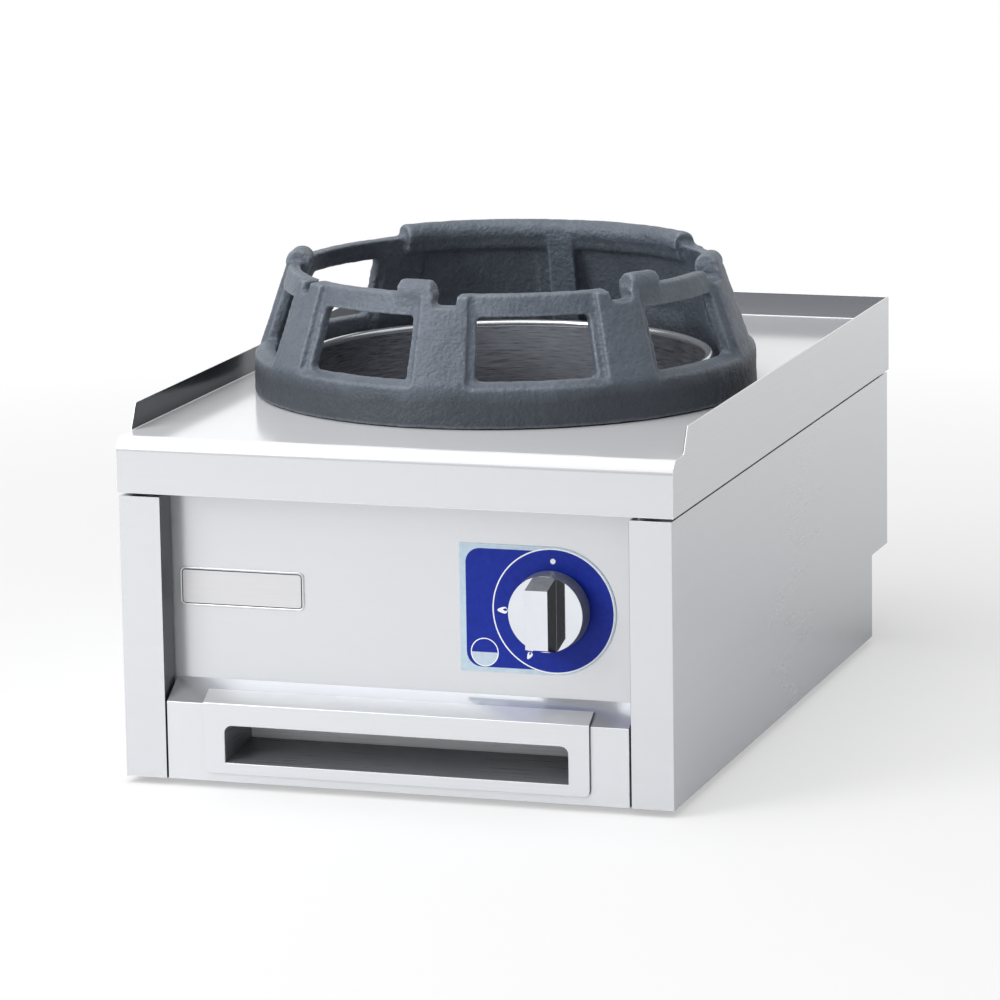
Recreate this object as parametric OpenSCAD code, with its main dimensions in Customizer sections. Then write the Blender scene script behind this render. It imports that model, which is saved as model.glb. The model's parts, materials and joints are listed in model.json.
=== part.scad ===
// Countertop gas wok burner: a stainless cabinet with a cast iron ring over a sunken burner,
// a push-and-turn gas tap and a drip tray that pulls out of the front. All lengths are in millimetres.
// X points right, Y to the back and Z up. The origin lies on the floor under the middle of the part.
// Inside the modules Y is counted back from the fascia and Z up from the underside of the cabinet.

/* [Cabinet] */
// Width over the worktop
body_w = 400; // [380:1:520]
// Depth from the fascia to the back
body_d = 600; // [580:1:760]
// Height of the worktop above the underside of the cabinet
worktop_h = 240; // [236:1:300]
// Height of the fascia and of the side skirts
fascia_h = 39; // [30:1:44]
// Height of the spill edge above the worktop
upstand_h = 18; // [8:1:40]
// How far the spill edge starts behind the fascia
upstand_setback = 28; // [16:1:60]
// How far the front end of the spill edge leans back
upstand_lean = 10; // [1:0.5:20]
// Radius of the worktop's front edge
nose_r = 10; // [4:0.5:14]
// Thickness of the worktop sheet
worktop_t = 1.5; // [1:0.1:2.5]
// Thickness of the cabinet sheets
sheet_t = 1.2; // [0.8:0.1:2]
// How far the side panels stand inside the skirts
side_inset = 1.4; // [0.5:0.1:4]
// Shadow gap between a side panel and the skirt above it
skirt_gap = 2; // [0.5:0.1:6]
// Width of the front posts
post_w = 30; // [22:1:40]
// How far the control panel lies behind the posts
panel_setback = 22; // [16:0.5:28]
// Depth of the pipe recess at the lower back
step_d = 49; // [36:1:70]
// Height of the pipe recess at the lower back
step_h = 64; // [52:1:80]

/* [Feet] */
// Height of a rubber foot
foot_h = 5; // [4:0.5:20]
// Radius of a rubber foot
foot_r = 16; // [10:0.5:24]
// Distance of the foot centres from the cabinet's sides
foot_inset_x = 40; // [30:1:60]
// Distance of the foot centres from the cabinet's front and back
foot_inset_y = 52; // [40:1:80]

/* [Lower front] */
// Height of the front edge of the sloped ledge
ledge_front_h = 55; // [50:0.5:60]
// Height of the back edge of the sloped ledge
ledge_back_h = 68.5; // [62:0.5:80]
// Gap between the lower frame and a post
frame_gap = 1.3; // [0.5:0.1:4]

/* [Drip tray] */
// Distance of the drawer front's ends from the cabinet's sides
tray_side = 60; // [50:1:80]
// Height of the drawer front's lower edge
tray_front_z = 6; // [4:0.5:10]
// Depth of the flange that lies on the ledge
tray_flange_d = 10.5; // [6:0.5:16]
// Distance of the finger slot's ends from the drawer front's ends
slot_side = 15.5; // [12:0.5:60]
// Height of the finger slot
slot_h = 26.5; // [18:0.5:30]
// Height of the finger slot's lower edge
slot_z = 14; // [12:0.5:18]
// Corner radius at the top of the finger slot
slot_r = 5.5; // [2:0.5:8]
// Depth of the finger recess
finger_d = 52; // [30:1:70]
// How far the floor of the finger recess rises to the back
finger_rise = 6; // [2:0.5:14]
// Length of the drip pan
pan_d = 385; // [300:1:400]

/* [Wok ring] */
// Distance of the ring's middle behind the fascia
ring_y = 258; // [246:1:320]
// Gap between the foot of the ring and the spill edge
ring_side_gap = 17.1; // [12.5:0.1:22.5]
// Height of the upright band at the foot
band_h = 28.5; // [20:0.5:29]
// Height of the rails above the worktop
ring_h = 90.5; // [80:0.5:110]
// How much narrower the ring is at the height of the rails, on each side
ring_draw = 22.4; // [15:0.2:28]
// Turn of the ring on the worktop, in degrees
ring_turn = 2.7; // [-20:0.1:20]
// How far the bays lie behind the faces of the posts
bay_recess = 4.5; // [1:0.5:7]
// Height of the window sills above the worktop
sill_h = 32; // [32:0.5:42]
// Radial thickness of the sills
sill_t = 9.5; // [6:0.5:12]
// Height of the rails themselves
rail_h = 16; // [10:0.5:22]
// Radial thickness of the rails
rail_t = 9; // [6:0.5:12]
// Radial thickness of the posts
ring_post_t = 13.4; // [10:0.1:18]
// Width of a post between two windows, in degrees
post_angle = 16.5; // [12:0.5:22]
// Width of the proud face of a post, in degrees
face_angle = 12.5; // [8:0.5:15]
// Half the thickness of the rolled rim and of the lugs
lip_r = 9; // [7:0.5:10]
// Height of the rim and lugs above the rails
lip_rise = 9; // [5:0.5:12]
// Width of a lug, in degrees
lug_angle = 10; // [8:0.5:15]
// Depth of the notches in the rail
notch_d = 8.5; // [3:0.5:10]

/* [Well and burner] */
// Distance of the burner well inside the foot of the ring
well_gap = 33.4; // [31:0.1:42]
// Height of the well's rim above the worktop
well_rise = 23.7; // [12:0.1:28]
// Wall thickness of the well
well_t = 1.5; // [1:0.1:3]
// Height of the edge of the well's floor
well_floor_h = 146; // [140:1:156]
// How far the well's floor falls to the middle
well_fall = 16; // [8:0.5:18]
// Radius of the drain hole round the burner
drain_r = 63; // [62:0.5:72]
// Outer radius of the burner bowl
bowl_r = 44; // [40:0.5:46]
// Wall of the burner bowl
bowl_t = 6; // [4:0.5:8]
// Radius of the burner head
head_r = 52; // [49:0.5:53]
// Height of the burner bowl
bowl_h = 100; // [94:1:110]
// Height of the burner cap above the bowl
cap_h = 22; // [14:0.5:26]
// Outer radius of the mixing tube
tube_r = 17; // [14:0.5:18]
// Wall of the mixing tube
tube_t = 4; // [2.5:0.5:6]
// Outer radius of the mixing tube's mouth
mouth_r = 24; // [21:0.5:26]

/* [Gas tap] */
// Distance of the knob's axis from the right side
knob_side = 91.5; // [84:0.5:104]
// Height of the knob's axis
knob_z = 130.8; // [126:0.1:140]
// Radius of the knob's disc at its back
knob_r = 27.5; // [24:0.5:34]
// Radius of the knob's disc at its face
knob_face_r = 26.4; // [22:0.1:32]
// Thickness of the knob's disc
knob_t = 14; // [11:0.5:18]
// Width of the bar grip
grip_w = 16; // [10:0.5:20]
// Height of the bar grip over the disc
grip_h = 20; // [12:0.5:26]
// Length of the grip's front face
grip_len = 41; // [30:0.5:44]
// Gap behind the knob, which lets it be pushed in
knob_gap = 5.2; // [4.5:0.1:8]
// Radius of the spindle
spindle_r = 4; // [3:0.1:5]
// Radius of the label's round end
label_r = 44.5; // [38:0.5:48]
// How far the label's middle lies below the knob's axis
label_drop = 1.8; // [0:0.1:4]
// Distance of the label's straight end from the knob's axis
label_reach = 67; // [50:0.5:80]
// Thickness of the label
label_t = 0.8; // [0.5:0.1:1.5]
// Width of the name plate
plate_w = 91; // [60:1:120]
// Height of the name plate
plate_h = 27; // [16:0.5:40]
// Distance of the name plate's middle from the left side
plate_side = 82.6; // [75:0.1:100]
// Height of the name plate's middle
plate_z = 133; // [110:0.5:160]
// Thickness of the name plate
plate_t = 1.2; // [0.6:0.1:2]

/* [Gas pipes] */
// Outer radius of the supply and burner pipes
pipe_r = 6; // [5:0.5:7]
// Outer radius of the pilot pipe
pilot_r = 3; // [2:0.25:3.5]
// Outer radius of the thermocouple's lead
lead_r = 1.5; // [1:0.25:2]
// Outer radius of the gas inlet's thread
inlet_r = 10.48; // [8:0.01:13]
// Distance of the gas inlet from the right side
inlet_side = 50; // [40:1:60]
// Height of the gas inlet
inlet_z = 34; // [28:1:40]
// How far the gas inlet stands out of the wall
inlet_reach = 36; // [24:1:36]

/* [Hidden] */
$fn = 64;

// Clearances: between flat sliding faces, in a running bore, round a fixed fit, and past a cut
slide_gap = 0.3;
run_gap = 0.05;
fit_gap = 0.2;
overrun = 1;

// Cabinet
half_w = body_w / 2;
top_under = worktop_h - worktop_t;
fascia_z = worktop_h - fascia_h;
wall_top = fascia_z - skirt_gap;
side_out = half_w - side_inset;
side_in = side_out - sheet_t;
post_in = side_out - post_w;
frame_half = post_in - frame_gap;
post_return_d = panel_setback - 2 * sheet_t;
shadow_ledge = 8;
top_flange = 16;
rear_flange = 22;
screw_head_h = 2;
screw_head_r = 4;
screw_r = 2;
screw_len = 10;
rear_face = body_d - screw_head_h - sheet_t;
rear_in = rear_face - sheet_t;
step_y = body_d - step_d;
vent_count = 9;
vent_w = 6;
vent_pitch = 28;
rear_screw_count = 3;
base_flange = 14;
panel_low = (ledge_front_h + ledge_back_h) / 2;

// Drip tray
front_lap = 2;
tray_clear = 1.2;
front_corner_r = 5;
tray_face = -slide_gap - sheet_t;
tray_front_w = body_w - 2 * tray_side;
slot_w = tray_front_w - 2 * slot_side;
open_half = tray_front_w / 2 - front_lap;
open_low = tray_front_z + front_lap;
open_high = ledge_front_h - 2 * front_lap - sheet_t;
pan_half = open_half - tray_clear;
pan_z = open_low + tray_clear;
pan_top = open_high - tray_clear;
pan_y = finger_d + sheet_t - slide_gap;
pan_back = pan_y + pan_d;
finger_top = slot_z + slot_h;
ledge_slope = (ledge_back_h - ledge_front_h) / panel_setback;
runner_gap = 0.5;
runner_leg = 16;
runner_high = 24;
runner_y = panel_setback;
runner_x = pan_half + runner_gap;

// Wok ring, with heights counted from the worktop
ring_r = half_w - worktop_t - ring_side_gap;
ring_top_r = ring_r - ring_draw;
ring_posts = 8;
ring_gap = 0.3;
ring_z = worktop_h + ring_gap;
band_draft = 0.6;
shoulder_r = ring_r - band_draft;
shoulder_h = 3;
ring_fall = (shoulder_r - ring_top_r) / (ring_h - band_h);
rail_low = ring_h - rail_h;
lip_top = ring_h + lip_rise;
lip_mid = lip_top - lip_r;
lip_inset_share = 1.1;
lip_centre_r = ring_top_r - lip_inset_share * lip_r;
under_lip_share = 0.85;
under_lip_drop_share = 0.75;
lug_lean = 15;
lug_root = 5;
sill_lip = 3;
post_drop = 1;
post_step = 360 / ring_posts;
// Angles from the front towards the right, for lugs and for the notches; each lug leans on one side
lug_places = [-82.7, -8.3, 54.4, 94];
lug_sides = [1, 1, -1, -1];
notch_places = [-45.7, 0.1, 45.8, 85.8];
notch_angles = [3.4, 6, 6, 5.8];
// The closed back runs over two bays; its rolled rim ends just past the end posts, with a rib inside
back_bays = 2;
rim_place = 178.9;
rim_angle = 92.6;
rib_place = 178.2;
rib_angle = 8;
rib_proud = 7;
function post_face(h) = shoulder_r - (h - band_h) * ring_fall;
function bay_face(h) = post_face(h) - bay_recess;

// Burner
well_r = ring_r - well_gap;
rim_z = worktop_h + well_rise;
bead_r = 2.8;
well_flange = 12;
drain_lip = 6;
drain_z = well_floor_h - well_fall;
bar_clear = 15;
bar_low = pan_top + bar_clear;
bar_h = 12;
bar_top = bar_low + bar_h;
bar_d = 44;
bolt_r = 3;
bolt_head_r = 5;
bolt_head_h = 3.5;
bolt_drop = 8;
bowl_foot_r = 34;
bowl_foot_h = 6;
bowl_flare = 14;
flare_share = bolt_head_h / bowl_flare;
bolt_x = bowl_foot_r + (bowl_r - bowl_foot_r) * flare_share + bolt_head_r + overrun;
bowl_top = bar_top + bowl_h;
tube_z = bar_top + bowl_foot_h + tube_r;
tube_end = ring_y - bowl_r + bowl_t / 2;
cap_gap = 0.3;
cap_spigot = 8;
cap_ports = 20;
cap_port_r = 2.4;
port_ring_share = 0.76;
inner_ring_share = 0.42;
cap_rim_share = 0.34;
cap_shoulder_share = 0.84;
holder_side = 24;
holder_room = 38;
holder_y = panel_setback + sheet_t + holder_room;
holder_back = holder_y + holder_side;
shank_r = 7;
shank_len = 13;
jet_r = 4;
jet_len = 6;
jet_bore_r = 1;
mouth_y = holder_back + shank_len + overrun;
bell_len = 28;
shutter_r = mouth_r - overrun;
shutter_t = 2;
shutter_collar_r = 10.5;
shutter_collar = 4;
shutter_gap = 0.8;
shutter_screw_r = 1.5;

// Gas tap, with places counted back from the fascia
knob_x = half_w - knob_side;
label_face = panel_setback - label_t;
knob_back = label_face - knob_gap;
knob_face = knob_back - knob_t;
grip_face = knob_face - grip_h;
knob_cup_r = 18;
knob_cup_d = 9;
spindle_end = knob_face - grip_h / 2;
set_screw_r = 2;
set_screw_y = knob_face + (knob_t - knob_cup_d) / 2;
panel_back = panel_setback + sheet_t;
nose_wall = 5;
nose_out_r = spindle_r + nose_wall;
nose_front = label_face - knob_gap + fit_gap;
nut_across = 24;
nut_t = 4;
bonnet_r = 15;
bonnet_len = 11;
bonnet_back = panel_back + bonnet_len;
valve_len = 52;
valve_back = bonnet_back + valve_len;
collar_t = 3;
collar_step = 3.6;
collar_r = spindle_r + collar_step;
room_gap = 1;
spring_room_r = collar_r + room_gap;
spring_room_len = 20;
spring_seat = bonnet_back + spring_room_len;
spring_wire_r = 0.7;
spring_turns = 5;
spring_mid_r = (spindle_r + spring_room_r) / 2;
tail_room_r = spindle_r + room_gap;
tail_len = 4;
tail_end = spring_seat + tail_len;
plunger_head_r = spindle_r + room_gap / 2;
plunger_head_t = 2;
tail_room_len = 13;
tail_room_end = spring_seat + tail_room_len;
plunger_r = spindle_r - room_gap;
plunger_end = valve_back - plunger_head_t;
magnet_r = 11;
magnet_len = 18;
magnet_back = valve_back + magnet_len;
lead_nut_r = 6;
lead_nut_t = 8;
boss_wall = 3;
boss_len = 9;
boss_r = pipe_r + boss_wall;
boss_reach = bonnet_r + boss_len;
pilot_boss_wall = 2;
pilot_boss_r = pilot_r + pilot_boss_wall;
// Where the three pipes leave the tap, as shares of its length
inlet_boss_share = 0.54;
outlet_boss_share = 0.73;
pilot_boss_share = 0.23;
inlet_boss_y = bonnet_back + inlet_boss_share * valve_len;
outlet_boss_y = bonnet_back + outlet_boss_share * valve_len;
pilot_boss_y = bonnet_back + pilot_boss_share * valve_len;
plate_x = half_w - plate_side;
plate_corner_r = 4;

// Gas pipes
pipe_bend = 14;
thin_bend = 10;
lead_bend = 8;
bar_pipe_gap = 7;
supply_z = bar_top + pipe_r + bar_pipe_gap;
inlet_x = half_w - inlet_side;
inlet_inside = 16;
inlet_neck = 0.5;
inlet_groove = 2;
inlet_shank_r = inlet_r - inlet_neck;
inlet_nut_across = 30;
inlet_nut_t = 6;
thread_y = step_y + inlet_nut_t + inlet_groove;
riser_back = step_y - inlet_inside - 2 * pipe_bend;
flame_r = (drain_r + head_r) / 2;
pilot_place = 40;
probe_place = 58;
drain_gap = 10;
low_z = drain_z - drain_lip - 2 * pilot_r - drain_gap;
// Pipe ends are kept on whole tenths, so that runs and bends meet exactly
function tenth(v) = round(10 * v) / 10;
pilot_x = tenth(flame_r * sin(pilot_place));
pilot_y = tenth(ring_y - flame_r * cos(pilot_place));
probe_x = tenth(flame_r * sin(probe_place));
probe_y = tenth(ring_y - flame_r * cos(probe_place));
pilot_head_r = 4.2;
pilot_head_h = 22;
pilot_head_rise = 2;
pilot_head_low = bowl_top + pilot_head_rise - pilot_head_h;
probe_r = 2.4;
probe_h = 34;
probe_top = bowl_top + 2 * pilot_head_rise;
bracket_t = 3;
bracket_share = 0.72;
bracket_z = bar_top + bracket_share * bowl_h;
bracket_margin_angle = 9;
lead_turn_y = magnet_back + lead_nut_t + 2 * lead_bend;

// The knob's reach in front of the fascia sets where the fascia lies, so that the origin is in the middle
reach = max(-tray_face, -grip_face);
front_y = (reach - body_d) / 2;

module placed() {
    translate([0, front_y, foot_h]) children();
}

// Shared shapes
module box(low, high) {
    translate(low) cube(high - low);
}

// A section drawn in Y and Z, run along X from x0 to x1
module along_x(x0, x1) {
    translate([x0, 0, 0]) rotate([90, 0, 90]) linear_extrude(height = x1 - x0) children();
}

// A face drawn in X and Z, run back along Y from y0 to y1
module along_y(y0, y1) {
    translate([0, y1, 0]) rotate([90, 0, 0]) linear_extrude(height = y1 - y0) children();
}

// A round bar along Y
module rod_y(x, z, y0, y1, r) {
    translate([x, y0, z]) rotate([-90, 0, 0]) cylinder(h = y1 - y0, r = r);
}

// A round bar along X
module rod_x(y, z, x0, x1, r) {
    translate([x0, y, z]) rotate([0, 90, 0]) cylinder(h = x1 - x0, r = r);
}

// A round bar along Z
module rod_z(x, y, z0, z1, r) {
    translate([x, y, z0]) cylinder(h = z1 - z0, r = r);
}

// A profile of radius and length, turned about an axis along Y
module turned_y(x, z) {
    translate([x, 0, z]) rotate([-90, 0, 0]) rotate_extrude() children();
}

// A quarter bend of a pipe: it arrives along one direction and leaves along another
module bend(corner, from, to, bend_r, r) {
    axis = cross(from, to);
    middle = corner + bend_r * (to - from);
    multmatrix([
        [-to[0], from[0], axis[0], middle[0]],
        [-to[1], from[1], axis[1], middle[1]],
        [-to[2], from[2], axis[2], middle[2]],
        [0, 0, 0, 1]
    ]) rotate_extrude(angle = 90) translate([bend_r, 0]) circle(r = r);
}

// A straight run of pipe between two points that differ along one axis
module run(start, end, r) {
    d = end - start;
    len = norm(d);
    upright = [d[2] < 0 ? 180 : 0, 0, 0];
    turn = d[0] != 0 ? [0, sign(d[0]) * 90, 0] : d[1] != 0 ? [-sign(d[1]) * 90, 0, 0] : upright;
    translate(start) rotate(turn) cylinder(h = len, r = r);
}

function unit(v) = v / norm(v);

// A pipe through corner points, with a bend at each inner one
module pipe(points, bend_r, r) {
    last = len(points) - 1;
    for (i = [0 : last - 1]) {
        way = unit(points[i + 1] - points[i]);
        start = points[i] + (i > 0 ? bend_r : 0) * way;
        end = points[i + 1] - (i < last - 1 ? bend_r : 0) * way;
        run(start, end, r);
        if (i < last - 1) bend(points[i + 1], way, unit(points[i + 2] - points[i + 1]), bend_r, r);
    }
}

module rounded_face(w, h, r) {
    square([w - 2 * r, h], center = true);
    square([w, h - 2 * r], center = true);
    for (x = [-1, 1], z = [-1, 1]) translate([x * (w / 2 - r), z * (h / 2 - r)]) circle(r = r);
}

module hex_nut(across, bore_r, t) {
    difference() {
        cylinder(h = t, d = across / cos(30), $fn = 6);
        translate([0, 0, -overrun]) cylinder(h = t + 2 * overrun, r = bore_r);
    }
}

// Worktop
module nose_outline() {
    translate([nose_r, worktop_h - nose_r]) circle(r = nose_r);
    translate([0, fascia_z]) square([nose_r, fascia_h - nose_r]);
}

module skirt_outline() {
    nose_outline();
    translate([nose_r, fascia_z]) square([body_d - nose_r, fascia_h]);
    polygon([
        [upstand_setback, worktop_h - worktop_t],
        [body_d, worktop_h - worktop_t],
        [body_d, worktop_h + upstand_h],
        [upstand_setback + upstand_lean, worktop_h + upstand_h],
        [upstand_setback, worktop_h]
    ]);
}

module top_outline() {
    difference() {
        union() {
            nose_outline();
            translate([nose_r, top_under]) square([body_d - nose_r, worktop_t]);
        }
        translate([nose_r, worktop_h - nose_r]) circle(r = nose_r - worktop_t);
        translate([worktop_t, fascia_z - overrun]) square([nose_r, fascia_h - nose_r + overrun]);
        translate([nose_r, fascia_z]) square([nose_r, fascia_h - worktop_t]);
    }
}

module worktop() {
    color("#d9dadd") placed() {
        difference() {
            along_x(-half_w, half_w) top_outline();
            rod_z(0, ring_y, top_under - overrun, worktop_h + overrun, well_r + fit_gap);
        }
        along_x(-half_w, -half_w + worktop_t) skirt_outline();
        along_x(half_w - worktop_t, half_w) skirt_outline();
        box([-half_w, body_d - worktop_t, fascia_z], [half_w, body_d, worktop_h + upstand_h]);
    }
}

// Side panels
module side_panel() {
    inner = side_out - shadow_ledge;
    difference() {
        union() {
            box([side_in, 0, 0], [side_out, body_d, wall_top]);
            box([post_in, 0, 0], [side_out, sheet_t, wall_top]);
            box([post_in, 0, 0], [post_in + sheet_t, post_return_d, wall_top]);
            box([inner, 0, wall_top - sheet_t], [side_out, body_d - worktop_t, wall_top]);
            box([inner, panel_back, wall_top - sheet_t], [inner + sheet_t, rear_in, top_under]);
            box([inner - top_flange, panel_back, top_under - sheet_t], [inner, rear_in - sheet_t, top_under]);
            box([side_out - rear_flange, rear_face - sheet_t, step_h], [side_out, rear_face, wall_top]);
        }
        box([post_in, step_y, -overrun], [side_out + overrun, body_d + overrun, step_h]);
        for (z = rear_screw_places()) rod_y(rear_screw_x(), z, rear_in, body_d, screw_r + fit_gap);
    }
}

function rear_screw_x() = side_out - rear_flange / 2;
function rear_screw_places() = [
    for (i = [0 : rear_screw_count - 1]) step_h + (i + 0.5) * (wall_top - step_h) / rear_screw_count
];

module side_panel_left() {
    color("#c3c7ca") placed() mirror([1, 0, 0]) side_panel();
}

module side_panel_right() {
    color("#c3c7ca") placed() side_panel();
}

// Rear panel
module rear_outline() {
    translate([rear_in - sheet_t, step_h]) square([sheet_t, top_under - step_h]);
    translate([step_y - sheet_t, step_h]) square([rear_in - step_y + sheet_t, sheet_t]);
    translate([step_y - sheet_t, sheet_t]) square([sheet_t, step_h]);
}

module rear_panel() {
    inner = side_out - shadow_ledge;
    vent_h = (wall_top - step_h) / 2;
    vent_z = step_h + vent_h / 2;
    color("#b9bdc0") placed() difference() {
        along_x(-side_in + fit_gap, side_in - fit_gap) rear_outline();
        for (i = [0 : vent_count - 1]) {
            x = (i - (vent_count - 1) / 2) * vent_pitch;
            box([x - vent_w / 2, rear_in - sheet_t - overrun, vent_z],
                [x + vent_w / 2, rear_in + overrun, vent_z + vent_h]);
        }
        for (side = [-1, 1], z = rear_screw_places())
            rod_y(side * rear_screw_x(), z, rear_in - 2 * sheet_t, rear_face, screw_r + fit_gap);
        for (side = [0, 1]) mirror([side, 0, 0])
            box([inner - fit_gap, rear_in - sheet_t - overrun, wall_top - sheet_t - fit_gap],
                [side_out, rear_in + overrun, top_under + overrun]);
        rod_y(inlet_x, inlet_z, step_y - sheet_t - overrun, step_y + overrun, inlet_shank_r + fit_gap);
    }
}

module rear_panel_screws() {
    color("#8f9397") placed() for (side = [-1, 1], z = rear_screw_places()) {
        rod_y(side * rear_screw_x(), z, rear_face, rear_face + screw_head_h, screw_head_r);
        rod_y(side * rear_screw_x(), z, rear_face - screw_len, rear_face, screw_r);
    }
}

// Base and feet
foot_places = [
    for (x = [-1, 1], y = [foot_inset_y, step_y - foot_inset_y]) [x * (half_w - foot_inset_x), y]
];

module base_pan() {
    color("#b3b7ba") placed() difference() {
        union() {
            box([-side_in, panel_setback, 0], [side_in, step_y, sheet_t]);
            for (side = [-1, 1]) {
                x = side * (side_in - sheet_t / 2);
                box([x - sheet_t / 2, panel_back, 0], [x + sheet_t / 2, step_y - sheet_t, base_flange]);
            }
        }
        for (p = foot_places) rod_z(p[0], p[1], -overrun, sheet_t + overrun, screw_r + fit_gap);
    }
}

module rubber_feet() {
    color("#26272a") placed() for (p = foot_places) difference() {
        translate([p[0], p[1], -foot_h]) cylinder(h = foot_h, r1 = foot_r - foot_h / 2, r2 = foot_r);
        rod_z(p[0], p[1], -foot_h - overrun, overrun, screw_r + fit_gap);
        rod_z(p[0], p[1], -foot_h - overrun, -foot_h / 2, screw_head_r + fit_gap);
    }
}

module foot_screws() {
    color("#8f9397") placed() for (p = foot_places) {
        rod_z(p[0], p[1], -foot_h / 2 - foot_h / 4, -foot_h / 2, screw_head_r);
        rod_z(p[0], p[1], -foot_h / 2, screw_len, screw_r);
    }
}

module foot_nuts() {
    color("#8f9397") placed() for (p = foot_places)
        translate([p[0], p[1], sheet_t]) hex_nut(2 * screw_head_r, screw_r + run_gap, 2 * screw_r);
}

// Front
module control_panel() {
    inner = side_out - shadow_ledge;
    color("#d5d7da") placed() difference() {
        union() {
            box([-side_in, panel_setback, panel_low], [side_in, panel_back, wall_top - sheet_t]);
            box([-inner, panel_setback, panel_low], [inner, panel_back, top_under]);
        }
        rod_y(knob_x, knob_z, panel_setback - overrun, panel_back + overrun, nose_out_r + fit_gap);
    }
}

module ledge_outline() {
    polygon([
        [0, ledge_front_h - sheet_t],
        [0, ledge_front_h],
        [panel_setback, ledge_back_h],
        [panel_setback, ledge_back_h - sheet_t],
        [sheet_t, ledge_front_h - sheet_t]
    ]);
}

module lower_front_frame() {
    color("#d9dbde") placed() {
        difference() {
            box([-frame_half, 0, 0], [frame_half, sheet_t, ledge_front_h - sheet_t]);
            box([-open_half, -overrun, open_low], [open_half, sheet_t + overrun, open_high]);
        }
        along_x(-frame_half, frame_half) ledge_outline();
        box([-frame_half, 0, 0], [frame_half, panel_setback, sheet_t]);
        for (side = [-1, 1]) {
            x = side * (frame_half - sheet_t / 2);
            along_x(x - sheet_t / 2, x + sheet_t / 2) polygon([
                [0, 0], [panel_setback, 0], [panel_setback, ledge_back_h], [0, ledge_front_h]
            ]);
        }
    }
}

module name_plate() {
    color("#c9ccd0") placed() along_y(panel_setback - plate_t, panel_setback)
        translate([-plate_x, plate_z]) rounded_face(plate_w, plate_h, plate_corner_r);
}

module control_label() {
    color("#2a3c96") placed() along_y(label_face, panel_setback) difference() {
        translate([knob_x, knob_z - label_drop]) {
            circle(r = label_r);
            translate([-label_reach, -label_r]) square([label_reach, 2 * label_r]);
        }
        translate([knob_x, knob_z]) circle(r = nose_out_r + fit_gap);
    }
}

// Drip tray
module slot_outline() {
    half = slot_w / 2;
    translate([-half, slot_z]) square([slot_w, slot_h - slot_r]);
    translate([-half + slot_r, slot_z]) square([slot_w - 2 * slot_r, slot_h]);
    for (side = [-1, 1]) translate([side * (half - slot_r), slot_z + slot_h - slot_r]) circle(r = slot_r);
}

module tray_front_outline() {
    half = tray_front_w / 2;
    low = tray_front_z;
    translate([-half, low + front_corner_r]) square([tray_front_w, ledge_front_h - low - front_corner_r]);
    translate([-half + front_corner_r, low]) square([tray_front_w - 2 * front_corner_r, ledge_front_h - low]);
    for (side = [-1, 1])
        translate([side * (half - front_corner_r), low + front_corner_r]) circle(r = front_corner_r);
}

module tray_front() {
    lift = 2 * slide_gap;
    drop = ledge_slope * tray_face;
    color("#e0e1e4") placed() {
        difference() {
            along_y(tray_face, tray_face + sheet_t) tray_front_outline();
            along_y(tray_face - overrun, overrun) slot_outline();
        }
        along_x(-tray_front_w / 2, tray_front_w / 2) polygon([
            [tray_face, ledge_front_h],
            [tray_face + sheet_t, ledge_front_h],
            [tray_face + sheet_t, ledge_front_h + lift],
            [tray_flange_d, ledge_front_h + lift + ledge_slope * (tray_flange_d + slide_gap)],
            [tray_flange_d, ledge_front_h + lift + sheet_t + ledge_slope * (tray_flange_d + slide_gap)],
            [tray_face, ledge_front_h + lift + sheet_t + drop]
        ]);
    }
}

module finger_recess() {
    front = tray_face + sheet_t;
    half = slot_w / 2;
    back = finger_d - slide_gap;
    floor_back = slot_z + finger_rise;
    color("#8d9196") placed() {
        along_x(-half - sheet_t, half + sheet_t) {
            polygon([
                [front, slot_z - sheet_t], [back, floor_back - sheet_t], [back, floor_back], [front, slot_z]
            ]);
            polygon([
                [back, floor_back - sheet_t], [back + sheet_t, floor_back - sheet_t],
                [back + sheet_t, finger_top + sheet_t], [back, finger_top + sheet_t]
            ]);
            translate([front, finger_top]) square([back - front, sheet_t]);
        }
        for (side = [-1, 1]) {
            x = side * (half + sheet_t / 2);
            along_x(x - sheet_t / 2, x + sheet_t / 2) polygon([
                [front, slot_z - sheet_t], [back, floor_back - sheet_t],
                [back, finger_top], [front, finger_top]
            ]);
        }
    }
}

module drip_pan() {
    color("#c4c7ca") placed() difference() {
        box([-pan_half, pan_y, pan_z], [pan_half, pan_back, pan_top]);
        box([-pan_half + sheet_t, pan_y + sheet_t, pan_z + sheet_t],
            [pan_half - sheet_t, pan_back - sheet_t, pan_top + overrun]);
    }
}

module tray_runner() {
    ledge_top = pan_z - slide_gap;
    box([runner_x, runner_y, sheet_t], [runner_x + sheet_t, pan_back, ledge_top + runner_high]);
    box([runner_x - runner_leg, runner_y, ledge_top - sheet_t], [runner_x, pan_back, ledge_top]);
    box([runner_x, runner_y, sheet_t], [runner_x + runner_leg, pan_back, 2 * sheet_t]);
}

module tray_runner_left() {
    color("#aab0b4") placed() mirror([1, 0, 0]) tray_runner();
}

module tray_runner_right() {
    color("#aab0b4") placed() tray_runner();
}

// Wok ring: angles run from the front towards the right
module ring_sector(middle, width) {
    rotate([0, 0, ring_turn + middle - width / 2 - 90]) rotate_extrude(angle = width, $fn = 96) children();
}

// The shell all round: upright band, shoulder and leaning wall, with its bays behind the posts' faces
module shell_section() {
    low_bay = band_h + shoulder_h;
    sill_in = bay_face(sill_h) - sill_t;
    polygon([
        [sill_in, 0],
        [ring_r, 0],
        [shoulder_r, band_h],
        [bay_face(low_bay), low_bay],
        [bay_face(ring_h), ring_h],
        [bay_face(ring_h) - rail_t, ring_h],
        [sill_in, sill_h + sill_lip]
    ]);
}

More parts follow.
